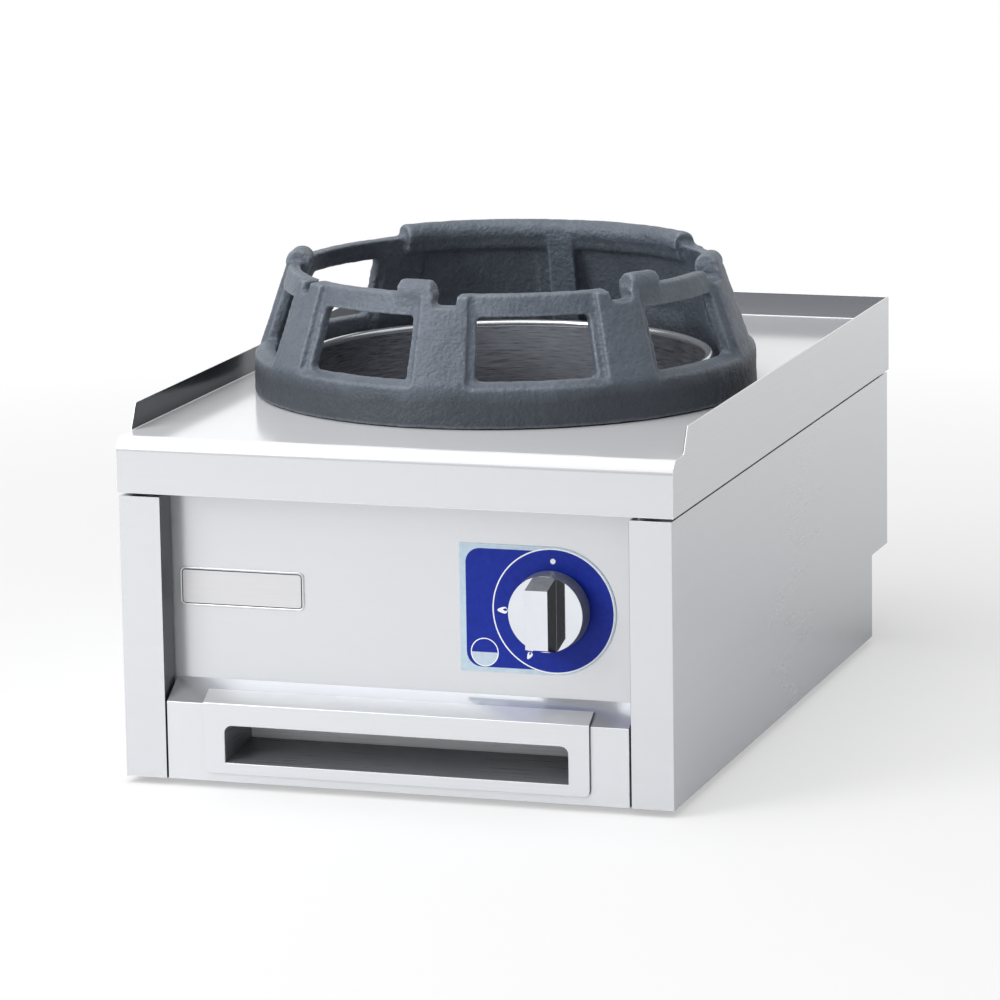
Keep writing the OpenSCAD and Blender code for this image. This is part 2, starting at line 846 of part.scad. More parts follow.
// A post grows out of the band just above its shoulder and stands proud inside and outside
module post_section() {
    foot = band_h + band_draft;
    post_top = ring_h - post_drop;
    polygon([
        [post_face(foot) - ring_post_t, band_h / 2],
        [shoulder_r - bay_recess, band_h / 2],
        [post_face(foot), foot],
        [post_face(post_top), post_top],
        [post_face(post_top) - ring_post_t, post_top]
    ]);
}

module window_section() {
    translate([ring_top_r - 2 * ring_post_t, sill_h]) square([2 * ring_post_t + ring_r, rail_low - sill_h]);
}

// The rolled lip of the rim and of the lugs: a full round with a smaller one tucked under it
module lip(middle, width) {
    under = under_lip_share * lip_r;
    ring_sector(middle, width) translate([lip_centre_r, lip_mid]) circle(r = lip_r);
    ring_sector(middle, width)
        translate([lip_centre_r + lip_r - under, lip_mid - under_lip_drop_share * lip_r]) circle(r = under);
}

module lug(place, side) {
    difference() {
        union() lip(place, lug_angle);
        rotate([0, 0, ring_turn + place + side * lug_angle / 2 - 90])
            translate([0, side * lug_root * tan(lug_lean), ring_h - lug_root]) rotate([side * lug_lean, 0, 0])
                translate([0, side > 0 ? 0 : -ring_r, 0]) cube(ring_r);
    }
}

// The rib inside the closed back
module rib_section() {
    high = lip_mid - lip_r / 2;
    polygon([
        [bay_face(sill_h) - sill_t - rib_proud, 0],
        [bay_face(sill_h) - sill_t / 2, 0],
        [bay_face(high) - rail_t / 2, high],
        [bay_face(high) - rail_t - rib_proud, high]
    ]);
}

module wok_ring() {
    open_bays = ring_posts - back_bays;
    color("#565b61") placed() translate([0, ring_y, ring_z]) difference() {
        union() {
            rotate_extrude($fn = 128) shell_section();
            for (i = [0 : ring_posts - 1]) ring_sector(i * post_step, face_angle) post_section();
            lip(rim_place, rim_angle);
            ring_sector(rib_place, rib_angle) rib_section();
            for (i = [0 : len(lug_places) - 1]) lug(lug_places[i], lug_sides[i]);
        }
        for (i = [0 : open_bays - 1])
            ring_sector((i - (open_bays - 1) / 2) * post_step, post_step - post_angle) window_section();
        for (i = [0 : len(notch_places) - 1])
            ring_sector(notch_places[i], notch_angles[i])
                translate([lip_centre_r - 2 * lip_r, ring_h - notch_d])
                    square([4 * lip_r, lip_rise + 2 * notch_d]);
    }
}

// Burner
module well_turned() {
    translate([0, ring_y, 0]) rotate_extrude($fn = 128) children();
}

module well_wall() {
    mid_r = well_r - well_t / 2;
    color("#a6a8ab") placed() union() {
        well_turned() translate([well_r - well_t, well_floor_h + well_t])
            square([well_t, rim_z - bead_r - well_floor_h - well_t]);
        well_turned() translate([mid_r, rim_z - bead_r]) circle(r = bead_r);
        well_turned() translate([mid_r, top_under - well_t]) square([well_flange, well_t]);
    }
}

// The wall stands on the rim of the sloped floor
module well_floor() {
    color("#a6a8ab") placed() well_turned() polygon([
        [well_r, well_floor_h + well_t], [well_r, well_floor_h],
        [drain_r + well_t, drain_z], [drain_r + well_t, drain_z - drain_lip],
        [drain_r, drain_z - drain_lip], [drain_r, drain_z + well_t],
        [well_r - well_t, well_floor_h + well_t]
    ]);
}

module cross_bar(y0, y1) {
    box([-side_in, y0, bar_top - sheet_t], [side_in, y1, bar_top]);
    box([-side_in, y0, bar_low], [side_in, y0 + sheet_t, bar_top]);
    box([-side_in, y1 - sheet_t, bar_low], [side_in, y1, bar_top]);
}

module burner_bar() {
    color("#9aa0a4") placed() difference() {
        cross_bar(ring_y - bar_d / 2, ring_y + bar_d / 2);
        for (side = [-1, 1]) rod_z(side * bolt_x, ring_y, bar_low, bar_top + overrun, bolt_r + fit_gap);
    }
}

module injector_bar() {
    color("#9aa0a4") placed() cross_bar(holder_y, holder_back);
}

module burner_bowl() {
    foot_reach = bolt_x + bolt_head_r;
    color("#4b4e52") placed() difference() {
        union() {
            translate([0, ring_y, bar_top]) rotate_extrude($fn = 96) polygon([
                [0, 0], [bowl_foot_r, 0], [bowl_foot_r, bowl_foot_h], [bowl_r, bowl_foot_h + bowl_flare],
                [bowl_r, bowl_h - bowl_flare], [head_r, bowl_h - bowl_foot_h], [head_r, bowl_h],
                [bowl_r - bowl_t, bowl_h], [bowl_r - bowl_t, bowl_foot_h + bowl_flare],
                [bowl_foot_r - bowl_t, bowl_foot_h], [0, bowl_foot_h]
            ]);
            box([-foot_reach, ring_y - bolt_head_r, bar_top],
                [foot_reach, ring_y + bolt_head_r, bar_top + bowl_foot_h]);
        }
        rod_y(0, tube_z, ring_y - bowl_r - overrun, ring_y, tube_r);
        for (side = [-1, 1])
            rod_z(side * bolt_x, ring_y, bar_low, bar_top + bowl_foot_h + overrun, bolt_r + fit_gap);
    }
}

module burner_bolts() {
    top = bar_top + bowl_foot_h;
    color("#8f9397") placed() for (side = [-1, 1]) {
        translate([side * bolt_x, ring_y, top]) cylinder(h = bolt_head_h, r = bolt_head_r, $fn = 6);
        rod_z(side * bolt_x, ring_y, bar_top - bolt_drop, top, bolt_r);
    }
}

module burner_cap() {
    low = bowl_top + cap_gap;
    neck = bowl_r - bowl_t - 2 * cap_gap;
    color("#3f4246") placed() difference() {
        translate([0, ring_y, low]) rotate_extrude($fn = 96) polygon([
            [0, cap_h - cap_spigot], [neck - bowl_t, cap_h / 2 - cap_spigot], [neck - bowl_t, -cap_spigot],
            [neck, -cap_spigot], [neck, 0], [head_r, 0], [head_r, cap_rim_share * cap_h],
            [port_ring_share * head_r, cap_shoulder_share * cap_h], [inner_ring_share * head_r, cap_h],
            [0, cap_h]
        ]);
        for (i = [0 : cap_ports - 1]) {
            a = i * 360 / cap_ports;
            translate([0, ring_y, 0]) rotate([0, 0, a])
                rod_z(port_ring_share * neck, 0, low - cap_spigot, low + 2 * cap_h, cap_port_r);
            if (i % 2 == 0) translate([0, ring_y, 0]) rotate([0, 0, a])
                rod_z(inner_ring_share * neck, 0, low - cap_spigot, low + 2 * cap_h, cap_port_r);
        }
    }
}

module mixing_tube() {
    inner = tube_r - tube_t;
    color("#4b4e52") placed() turned_y(0, tube_z) polygon([
        [mouth_r - tube_t, mouth_y], [mouth_r, mouth_y], [tube_r, mouth_y + bell_len], [tube_r, tube_end],
        [inner, tube_end], [inner, mouth_y + bell_len]
    ]);
}

module injector_holder() {
    half = holder_side / 2;
    color("#b08d4c") placed() difference() {
        box([-half, holder_y, bar_top], [half, holder_back, tube_z + half]);
        rod_y(0, tube_z, holder_y + half, holder_back + overrun, jet_r);
        rod_z(0, holder_y + half, tube_z, tube_z + half + overrun, jet_r);
    }
}

module injector() {
    color("#c2a05a") placed() difference() {
        union() {
            rod_y(0, tube_z, holder_back, holder_back + shank_len, shank_r);
            rod_y(0, tube_z, holder_back + shank_len, holder_back + shank_len + jet_len, jet_r);
        }
        rod_y(0, tube_z, holder_back - overrun, holder_back + shank_len + jet_len + overrun, jet_bore_r);
    }
}

module air_shutter() {
    start = holder_back + shutter_gap;
    color("#9aa0a4") placed() difference() {
        union() {
            rod_y(0, tube_z, start, start + shutter_collar, shutter_collar_r);
            rod_y(0, tube_z, start + shutter_collar, start + shutter_collar + shutter_t, shutter_r);
        }
        rod_y(0, tube_z, start - overrun, start + shutter_collar + shutter_t + overrun, shank_r + run_gap);
        rod_z(0, start + shutter_collar / 2, tube_z, tube_z + shutter_collar_r + overrun,
            shutter_screw_r + run_gap);
    }
}

module shutter_screw() {
    y = holder_back + shutter_gap + shutter_collar / 2;
    low = tube_z + shank_r + slide_gap;
    color("#8f9397") placed()
        rod_z(0, y, low, tube_z + shutter_collar_r + shutter_collar, shutter_screw_r);
}

// Gas tap
module gas_valve() {
    color("#b08d4c") placed() difference() {
        union() {
            rod_y(knob_x, knob_z, bonnet_back, valve_back, bonnet_r);
            rod_z(knob_x, inlet_boss_y, knob_z - boss_reach, knob_z, boss_r);
            rod_x(outlet_boss_y, knob_z, knob_x - boss_reach, knob_x, boss_r);
            rod_x(pilot_boss_y, knob_z, knob_x - boss_reach, knob_x, pilot_boss_r);
        }
        rod_y(knob_x, knob_z, bonnet_back - overrun, spring_seat, spring_room_r);
        rod_y(knob_x, knob_z, spring_seat - overrun, tail_room_end, tail_room_r);
        rod_y(knob_x, knob_z, tail_room_end - overrun, valve_back + overrun, plunger_r + run_gap);
    }
}

module valve_bonnet() {
    color("#b9985a") placed() difference() {
        union() {
            rod_y(knob_x, knob_z, panel_back, bonnet_back, bonnet_r);
            rod_y(knob_x, knob_z, nose_front, panel_back, nose_out_r);
        }
        rod_y(knob_x, knob_z, nose_front - overrun, bonnet_back + overrun, spindle_r + run_gap);
    }
}

module valve_nut() {
    color("#8f9397") placed() translate([knob_x, label_face, knob_z]) rotate([90, 0, 0])
        hex_nut(nut_across, nose_out_r + run_gap, nut_t);
}

module valve_spindle() {
    start = bonnet_back + slide_gap;
    color("#a9adb0") placed() {
        rod_y(knob_x, knob_z, spindle_end, tail_end, spindle_r);
        rod_y(knob_x, knob_z, start, start + collar_t, collar_r);
    }
}

module valve_plunger() {
    start = tail_end + slide_gap;
    color("#a9adb0") placed() {
        rod_y(knob_x, knob_z, start, start + plunger_head_t, plunger_head_r);
        rod_y(knob_x, knob_z, start + plunger_head_t, plunger_end, plunger_r);
    }
}

// One unbroken coil along Z: rings of points round a helix, closed at both ends
coil_sides = 6;
coil_rings = 8;

function coil_points(mid_r, wire_r, length, turns) = [
    for (i = [0 : turns * coil_rings], j = [0 : coil_sides - 1])
        let (
            a = i * 360 / coil_rings,
            b = j * 360 / coil_sides,
            rise = (length - 2 * wire_r) / (turns * coil_rings),
            r = mid_r + wire_r * cos(b)
        ) [r * cos(a), r * sin(a), wire_r + i * rise + wire_r * sin(b)]
];

// The least distance between points one turn apart
function coil_gap(points) = min([
    for (i = [0 : coil_rings - 1], j = [0 : coil_sides - 1], k = [0 : coil_sides - 1])
        norm(points[i * coil_sides + j] - points[(i + coil_rings) * coil_sides + k])
]);

module coil(mid_r, wire_r, length, turns) {
    points = coil_points(mid_r, wire_r, length, turns);
    around = [
        for (i = [0 : turns * coil_rings - 1], j = [0 : coil_sides - 1])
            let (k = (j + 1) % coil_sides, p = i * coil_sides, q = p + coil_sides)
                each [[p + j, q + k, p + k], [p + j, q + j, q + k]]
    ];
    end = turns * coil_rings * coil_sides;
    caps = [for (j = [1 : coil_sides - 2]) each [[0, j, j + 1], [end, end + j + 1, end + j]]];
    echo(least_coil_gap = coil_gap(points));
    polyhedron(points = points, faces = concat(around, caps));
}

module return_spring() {
    start = bonnet_back + slide_gap + collar_t + fit_gap;
    color("#8a8f94") placed() translate([knob_x, start, knob_z]) rotate([-90, 0, 0])
        coil(spring_mid_r, spring_wire_r, spring_seat - start - fit_gap, spring_turns);
}

module magnet_unit() {
    color("#9a9da0") placed() difference() {
        union() {
            rod_y(knob_x, knob_z, valve_back, magnet_back, magnet_r);
            translate([knob_x, magnet_back, knob_z]) rotate([-90, 0, 0])
                cylinder(h = lead_nut_t, r = lead_nut_r, $fn = 6);
        }
        rod_y(knob_x, knob_z, valve_back - overrun, valve_back + magnet_len / 2, plunger_r + slide_gap);
    }
}

module knob() {
    color("#e4e5e8") placed() difference() {
        union() {
            translate([knob_x, knob_back, knob_z]) rotate([90, 0, 0])
                cylinder(h = knob_t, r1 = knob_r, r2 = knob_face_r, $fn = 128);
            intersection() {
                along_x(knob_x - grip_w / 2, knob_x + grip_w / 2) translate([0, knob_z]) polygon([
                    [knob_face + overrun, -knob_face_r], [grip_face, -grip_len / 2],
                    [grip_face, grip_len / 2], [knob_face + overrun, knob_face_r]
                ]);
                rod_y(knob_x, knob_z, grip_face, knob_back, knob_face_r);
            }
        }
        rod_y(knob_x, knob_z, knob_back - knob_cup_d, knob_back + overrun, knob_cup_r);
        rod_y(knob_x, knob_z, spindle_end - fit_gap, knob_back, spindle_r + run_gap / 2);
        rod_z(knob_x, set_screw_y, knob_z - knob_r, knob_z, set_screw_r + run_gap);
    }
}

module knob_screw() {
    low = knob_z - knob_face_r + set_screw_r;
    color("#55585b") placed() rod_z(knob_x, set_screw_y, low, knob_z - spindle_r - run_gap, set_screw_r);
}

// Gas pipes
module gas_inlet() {
    color("#9a9da0") placed() difference() {
        union() {
            rod_y(inlet_x, inlet_z, step_y - inlet_inside, thread_y, inlet_shank_r);
            rod_y(inlet_x, inlet_z, thread_y, step_y + inlet_reach, inlet_r);
        }
        rod_y(inlet_x, inlet_z, step_y - inlet_inside + pipe_r, step_y + inlet_reach + overrun, pipe_r);
    }
}

module inlet_nuts() {
    color("#8f9397") placed() for (y = [step_y, step_y - sheet_t - inlet_nut_t])
        translate([inlet_x, y, inlet_z]) rotate([-90, 0, 0])
            hex_nut(inlet_nut_across, inlet_shank_r + run_gap, inlet_nut_t);
}

module supply_pipe() {
    color("#b87f55") placed() pipe([
        [inlet_x, step_y - inlet_inside, inlet_z], [inlet_x, riser_back, inlet_z],
        [inlet_x, riser_back, supply_z], [inlet_x, inlet_boss_y, supply_z],
        [knob_x, inlet_boss_y, supply_z], [knob_x, inlet_boss_y, knob_z - boss_reach]
    ], pipe_bend, pipe_r);
}

module burner_pipe() {
    color("#b87f55") placed() pipe([
        [knob_x - boss_reach, outlet_boss_y, knob_z], [0, outlet_boss_y, knob_z],
        [0, outlet_boss_y, tube_z + holder_side / 2]
    ], pipe_bend, pipe_r);
}

module pilot_pipe() {
    color("#b87f55") placed() pipe([
        [knob_x - boss_reach, pilot_boss_y, knob_z], [pilot_x, pilot_boss_y, knob_z],
        [pilot_x, pilot_boss_y, low_z], [pilot_x, pilot_y, low_z], [pilot_x, pilot_y, pilot_head_low]
    ], thin_bend, pilot_r);
}

module pilot_burner() {
    top = pilot_head_low + pilot_head_h;
    color("#a9adb0") placed() difference() {
        rod_z(pilot_x, pilot_y, pilot_head_low, top, pilot_head_r);
        rod_z(pilot_x, pilot_y, top - pilot_head_h / 2, top + overrun, pilot_head_r / 2);
    }
}

module pilot_bracket() {
    width = probe_place - pilot_place + 2 * bracket_margin_angle;
    color("#9aa0a4") placed() difference() {
        translate([0, ring_y, bracket_z]) rotate([0, 0, (pilot_place + probe_place - width) / 2 - 90])
            rotate_extrude(angle = width) translate([bowl_r, 0]) square([drain_r - bowl_r, bracket_t]);
        rod_z(pilot_x, pilot_y, bracket_z - overrun, bracket_z + bracket_t + overrun, pilot_r + run_gap);
        rod_z(probe_x, probe_y, bracket_z - overrun, bracket_z + bracket_t + overrun, probe_r + run_gap);
    }
}

module thermocouple_lead() {
    color("#c08a60") placed() pipe([
        [knob_x, magnet_back + lead_nut_t, knob_z], [knob_x, lead_turn_y, knob_z],
        [knob_x, lead_turn_y, low_z], [probe_x, lead_turn_y, low_z],
        [probe_x, probe_y, low_z], [probe_x, probe_y, probe_top - probe_h]
    ], lead_bend, lead_r);
}

module thermocouple() {
    color("#a9adb0") placed() rod_z(probe_x, probe_y, probe_top - probe_h, probe_top, probe_r);
}

worktop();
side_panel_left();
side_panel_right();
rear_panel();
rear_panel_screws();
base_pan();
control_panel();
lower_front_frame();
name_plate();
control_label();
rubber_feet();
foot_screws();
foot_nuts();
tray_front();
finger_recess();
drip_pan();
tray_runner_left();
tray_runner_right();
wok_ring();
well_wall();
well_floor();
burner_bar();
injector_bar();
burner_bowl();
burner_bolts();
burner_cap();
mixing_tube();
injector_holder();
injector();
air_shutter();
shutter_screw();
gas_valve();
valve_bonnet();
valve_nut();
valve_spindle();
valve_plunger();
return_spring();
magnet_unit();
knob();
knob_screw();
gas_inlet();
inlet_nuts();
supply_pipe();
burner_pipe();
pilot_pipe();
pilot_burner();
pilot_bracket();
thermocouple();
thermocouple_lead();
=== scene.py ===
# %% [markdown]
# # A countertop wok burner
# The burner is a folded stainless cabinet with a cast iron ring on top, a chrome tap knob on a blue
# label and a drip tray that pulls out of the front. The measured solids are loaded first. They carry
# the joints and the sizes, so everything made here only dresses them: the wall that the eye sees may
# get softer edges, a cast skin or a printed face, but it stays where the solid is.

# %% Load the measured solids
import json
import math

import bmesh
import bpy
from mathutils import Matrix, Vector


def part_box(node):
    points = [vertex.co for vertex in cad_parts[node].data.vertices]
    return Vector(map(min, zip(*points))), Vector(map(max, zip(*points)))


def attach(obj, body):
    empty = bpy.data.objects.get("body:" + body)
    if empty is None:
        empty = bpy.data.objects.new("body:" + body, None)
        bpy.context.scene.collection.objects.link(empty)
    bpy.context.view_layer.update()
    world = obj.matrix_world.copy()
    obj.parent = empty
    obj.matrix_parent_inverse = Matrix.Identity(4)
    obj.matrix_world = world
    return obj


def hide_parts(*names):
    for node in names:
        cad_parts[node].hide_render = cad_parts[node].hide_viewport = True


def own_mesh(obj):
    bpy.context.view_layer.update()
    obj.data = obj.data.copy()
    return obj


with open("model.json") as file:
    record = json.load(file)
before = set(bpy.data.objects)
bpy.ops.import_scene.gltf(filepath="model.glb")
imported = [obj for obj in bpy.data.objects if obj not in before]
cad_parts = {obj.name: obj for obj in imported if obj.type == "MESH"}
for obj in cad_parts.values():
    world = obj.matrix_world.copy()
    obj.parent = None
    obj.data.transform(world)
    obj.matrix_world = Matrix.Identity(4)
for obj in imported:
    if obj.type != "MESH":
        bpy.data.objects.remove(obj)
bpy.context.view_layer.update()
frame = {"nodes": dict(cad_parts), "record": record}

MM = 0.001
scene = bpy.context.scene
scene.view_settings.view_transform = "Standard"

# %% [markdown]
# ## The camera
# The picture was taken with a long lens from the right of the front and a little above the worktop,
# so upright edges stay nearly parallel. The view could be set by eye with a target to look at. Here
# the turn, tilt and roll were fitted to the corners of the cabinet, so they are written as angles.

# %% Camera at the photograph's view
view_turn = math.radians(18.112)
view_tilt = math.radians(11.254)
view_roll = math.radians(-0.909)
view_place = Vector((1.1679, -3.6220, 0.9112))
lens_mm = 190.8
sensor_mm = 36.0

camera_data = bpy.data.cameras.new("photo_camera")
camera_data.lens = lens_mm
camera_data.sensor_width = sensor_mm
camera = bpy.data.objects.new("photo_camera", camera_data)
turned = Matrix.Rotation(view_turn, 4, "Z")
tilted = Matrix.Rotation(math.pi / 2 - view_tilt, 4, "X")
rolled = Matrix.Rotation(view_roll, 4, "Z")
camera.matrix_world = Matrix.Translation(view_place) @ turned @ tilted @ rolled
scene.collection.objects.link(camera)
scene.camera = camera
print("camera", tuple(round(v, 3) for v in view_place), "lens", lens_mm, "mm")

# %% [markdown]
# ## Colours and shader nodes
# Colours are picked as sRGB hex values, as in a paint program, but a shader works with linear light.
# One function does that change for every colour. A second one adds a single shader node with its
# settings and links, which keeps each finish below down to a short list.

# %% Helpers for colours and shader nodes
def linear(colour):
    """Turn an sRGB hex value into the linear colour that a shader reads."""
    shares = [int(colour[i:i + 2], 16) / 255 for i in (1, 3, 5)]
    curve = [s / 12.92 if s <= 0.04045 else ((s + 0.055) / 1.055) ** 2.4 for s in shares]
    return (*curve, 1.0)


def add(finish, kind, fields=None, values=None, links=None):
    """Add one shader node: its fields, the values of its sockets and what is linked to them."""
    tree = finish.node_tree
    node = tree.nodes.new(kind)
    for name, value in (fields or {}).items():
        setattr(node, name, value)
    for socket, value in (values or {}).items():
        node.inputs[socket].default_value = value
    for socket, source in (links or {}).items():
        tree.links.new(source, node.inputs[socket])
    return node


def new_finish(name, values):
    """Start a finish: constants go straight onto the sockets of its shader."""
    finish = bpy.data.materials.new(name)
    finish.use_nodes = True
    shader = finish.node_tree.nodes["Principled BSDF"]
    for socket, value in values.items():
        shader.inputs[socket].default_value = value
    return finish, shader


def grain(finish, size_mm, detail=3.0, along=None):
    """A noise on the object's own coordinates, with one streak or speck of the given size."""
    if along is None:
        along = add(finish, "ShaderNodeTexCoord").outputs["Object"]
    fit = add(finish, "ShaderNodeMapping", {"vector_type": "POINT"},
              {"Scale": [1 / (length * MM) for length in size_mm]}, {"Vector": along})
    return add(finish, "ShaderNodeTexNoise", None,
               {"Scale": 1.0, "Detail": detail, "Roughness": 0.55},
               {"Vector": fit.outputs["Vector"]}).outputs["Fac"]


def spread(finish, source, low, high, edges=(0.3, 0.7)):
    """Map the middle of a noise onto a range of values."""
    return add(finish, "ShaderNodeMapRange", None,
               {"From Min": edges[0], "From Max": edges[1], "To Min": low, "To Max": high},
               {"Value": source}).outputs["Result"]


COLOUR_A = 6
COLOUR_B = 7
COLOUR_OUT = 2


def blend_colours(finish, share, first, second):
    """Mix two colours, or a colour and a socket, by a varying share."""
    mixed = add(finish, "ShaderNodeMix", {"data_type": "RGBA"}, None, {"Factor": share})
    for index, side in ((COLOUR_A, first), (COLOUR_B, second)):
        if isinstance(side, str):
            mixed.inputs[index].default_value = linear(side)
        else:
            finish.node_tree.links.new(side, mixed.inputs[index])
    return mixed.outputs[COLOUR_OUT]


def raise_grain(finish, source, height_mm, strength, under=None):
    """Bump from a noise, with the real height of its relief."""
    links = {"Height": source}
    if under:
        links["Normal"] = under
    return add(finish, "ShaderNodeBump", None, {"Distance": height_mm * MM, "Strength": strength},
               links).outputs["Normal"]


def join(finish, shader, **sources):
    """Link colour, roughness and normal to the shader."""
    names = {"colour": "Base Color", "roughness": "Roughness", "normal": "Normal"}
    for word, source in sources.items():
        finish.node_tree.links.new(source, shader.inputs[names[word]])


print("helpers ready")

# %% [markdown]
# ## Brushed stainless steel
# The cabinet is folded from satin stainless sheet. A belt leaves long fine scratches along the sheet,
# which blur a reflection and scatter some light to all sides, so the shader is part mirror and part
# matt. Real scratches are about 0.1 mm wide, too fine for this picture, so they are drawn some six
# times wider. On the large plain sides even those would flicker against the pixels, so there they are
# faint bands of some millimetres. They run level on upright faces and from left to right on flat ones.
# The face's own direction picks the axis, so that one recipe serves every fold of a sheet.

# %% Brushed sheets
handling_mm = 70.0
handling_share = 0.5
scratch_deep_mm = 0.01


def brushed_steel(name, streak_mm, dark, light, smooth, dull, mirror, relief=0.001):
    """Satin sheet: streaks in colour, in gloss and a little in height."""
    finish, shader = new_finish(name, {"Metallic": mirror})
    place = add(finish, "ShaderNodeTexCoord")
    form = add(finish, "ShaderNodeNewGeometry")
    spot = add(finish, "ShaderNodeSeparateXYZ", links={"Vector": place.outputs["Object"]})
    facing = add(finish, "ShaderNodeSeparateXYZ", links={"Vector": form.outputs["True Normal"]})
    flat = add(finish, "ShaderNodeMath", {"operation": "ABSOLUTE"}, links={0: facing.outputs["Z"]})
    fine = add(finish, "ShaderNodeMath", {"operation": "MULTIPLY_ADD"},
               links={0: flat.outputs[0], 1: spot.outputs["Y"], 2: spot.outputs["Z"]})
    along = add(finish, "ShaderNodeCombineXYZ",
                links={"X": spot.outputs["X"], "Y": spot.outputs["Y"], "Z": fine.outputs[0]})
    streaks = grain(finish, streak_mm, 2.0, along.outputs["Vector"])
    handling = grain(finish, (handling_mm,) * 3, 2.0)
    worn = add(finish, "ShaderNodeMath", {"operation": "MULTIPLY_ADD"}, {1: handling_share},
               {0: handling, 2: streaks})
    colour = blend_colours(finish, spread(finish, streaks, 0.0, 1.0), dark, light)
    gloss = spread(finish, worn.outputs[0], smooth, dull, (0.5, 1.0))
    join(finish, shader, colour=colour, roughness=gloss,
         normal=raise_grain(finish, streaks, scratch_deep_mm, relief))
    return finish


finishes = {
    "cabinet_sheet": brushed_steel("brushed_stainless_cabinet", (400.0, 400.0, 6.0),
                                   "#DBDDE0", "#DCDEE1", 0.24, 0.26, 0.65),
    "top_sheet": brushed_steel("brushed_stainless_worktop", (150.0, 150.0, 0.6),
                               "#EBECEF", "#EFF0F2", 0.11, 0.15, 0.20),
    "upstand_sheet": brushed_steel("mirror_stainless_upstand", (150.0, 150.0, 0.6),
                                   "#B7B9BD", "#BFC1C5", 0.10, 0.14, 0.9),
    # Painted reflection: the dark tone stands for the ring mirrored in the upstand's sides.
    "painted_reflection_upstand": brushed_steel("stainless_upstand_side_painted_reflection", (150.0, 150.0, 0.6),
                                    "#505155", "#5A5B5F", 0.12, 0.17, 0.95),
    # Painted shade: the dark tone of the returns beside the posts and of the gap beside the drawer.
    "painted_shade_corner": brushed_steel("stainless_corner_painted_shade", (40.0, 40.0, 0.8),
                                  "#4B4B4F", "#5A5A5E", 0.30, 0.42, 0.8),
    # Painted shade: the darker tone of the well under the ring.
    "well_sheet": brushed_steel("spun_stainless_painted_shade", (16.0, 16.0, 0.9),
                                "#74767C", "#B2B4BA", 0.24, 0.38, 0.7, 0.15),
    # Painted highlight: the bright tone of the rolled rim.
    "rim_painted_highlight": brushed_steel("stainless_rim_painted_highlight", (30.0, 30.0, 0.6),
                               "#CFD1D5", "#D8DADD", 0.14, 0.20, 0.75),
    "tray_sheet": brushed_steel("brushed_stainless_tray", (80.0, 80.0, 0.9),
                                "#B6B9BE", "#C1C4C9", 0.24, 0.34, 0.8),
    # Painted shade: the dark tone of the finger recess.
    "recess_painted_shade": brushed_steel("stainless_recess_painted_shade", (60.0, 60.0, 0.9),
                                  "#6C6E73", "#787A7F", 0.26, 0.34, 0.15),
    # Painted reflection: the pale tone of the plate at the back of the finger recess.
    "pale_back_painted_reflection": brushed_steel("stainless_back_plate_painted_reflection", (60.0, 60.0, 0.9),
                                 "#F2F4F7", "#F8F9FB", 0.24, 0.32, 0.05),
    "ledge_sheet": brushed_steel("brushed_stainless_ledge", (150.0, 150.0, 0.6),
                                 "#C6C8CC", "#CBCDD1", 0.12, 0.15, 0.6),
    "front_sheet": brushed_steel("brushed_stainless_front", (150.0, 150.0, 0.6),
                                 "#DDDFE2", "#E0E2E5", 0.15, 0.18, 0.45),
    "plate_face": brushed_steel("satin_aluminium_plate", (40.0, 40.0, 0.6),
                                "#DADADD", "#DEDEE0", 0.28, 0.32, 0.6),
    # Painted shadow: the dark tone of the groove round the name plate.
    "groove_painted_shadow": brushed_steel("aluminium_groove_painted_shadow", (40.0, 40.0, 0.6),
                                  "#3A3B3D", "#4A4B4E", 0.40, 0.55, 0.3),
}
print("brushed finishes", len(finishes))

# %% [markdown]
# ## Zinc coated and plated steel
# Sheets that nobody sees are zinc coated: the zinc freezes in flat crystals some millimetres wide,
# the spangle. Screws, nuts and brackets are plated thinly and stay plain and a little cloudy. A cell
# pattern gives each crystal its own tone, which a plain noise can't do.

# %% Zinc finishes
crystal_mm = 6.0
cloud_mm = 6.0
pit_mm = 0.8
pit_deep_mm = 0.02
zinc_sheet, shader = new_finish("spangled_zinc_sheet", {"Metallic": 1.0})
place = add(zinc_sheet, "ShaderNodeTexCoord")
crystals = add(zinc_sheet, "ShaderNodeTexVoronoi", None, {"Scale": 1 / (crystal_mm * MM)},
               {"Vector": place.outputs["Object"]})
tone = add(zinc_sheet, "ShaderNodeSeparateColor", None, None, {"Color": crystals.outputs["Color"]})
join(zinc_sheet, shader,
     colour=blend_colours(zinc_sheet, tone.outputs["Red"], "#AAAFB2", "#B9BEC1"),
     roughness=spread(zinc_sheet, tone.outputs["Green"], 0.36, 0.46, (0.0, 1.0)))
finishes["zinc_sheet"] = zinc_sheet

zinc_plate, shader = new_finish("bright_zinc_plating", {"Metallic": 1.0})
cloud = grain(zinc_plate, (cloud_mm,) * 3)
pits = grain(zinc_plate, (pit_mm,) * 3)
join(zinc_plate, shader,
     colour=blend_colours(zinc_plate, spread(zinc_plate, cloud, 0.0, 1.0), "#AEB3B6", "#C9CDCE"),
     roughness=spread(zinc_plate, cloud, 0.26, 0.42),
     normal=raise_grain(zinc_plate, pits, pit_deep_mm, 0.15))
finishes["zinc_plate"] = zinc_plate
print("zinc finishes", zinc_sheet.name, zinc_plate.name)

# %% [markdown]
# ## Cast iron
# The ring is poured in a sand mould and coated with a heat proof graphite paint. The sand leaves a
# grit of under a millimetre and slow waves of some millimetres. The edges are lighter: partly wear
# from handling, partly a painted highlight. The grit is too fine for this picture, so it is drawn
# three times as wide. Grit and waves are bumps with a height in millimetres, and the mesh's own
# pointiness finds the edges, so the lighter edges follow the shape wherever it is seen from. The band
# at the foot of the ring is darker, up to a ragged height.

# %% Cast iron finishes
sand_mm = 2.8
sand_high_mm = 1.1
wave_mm = 8.0
wave_high_mm = 1.2
patch_mm = 34.0
ragged_mm = 8.0
dark_foot_mm = (22.0, 36.0)


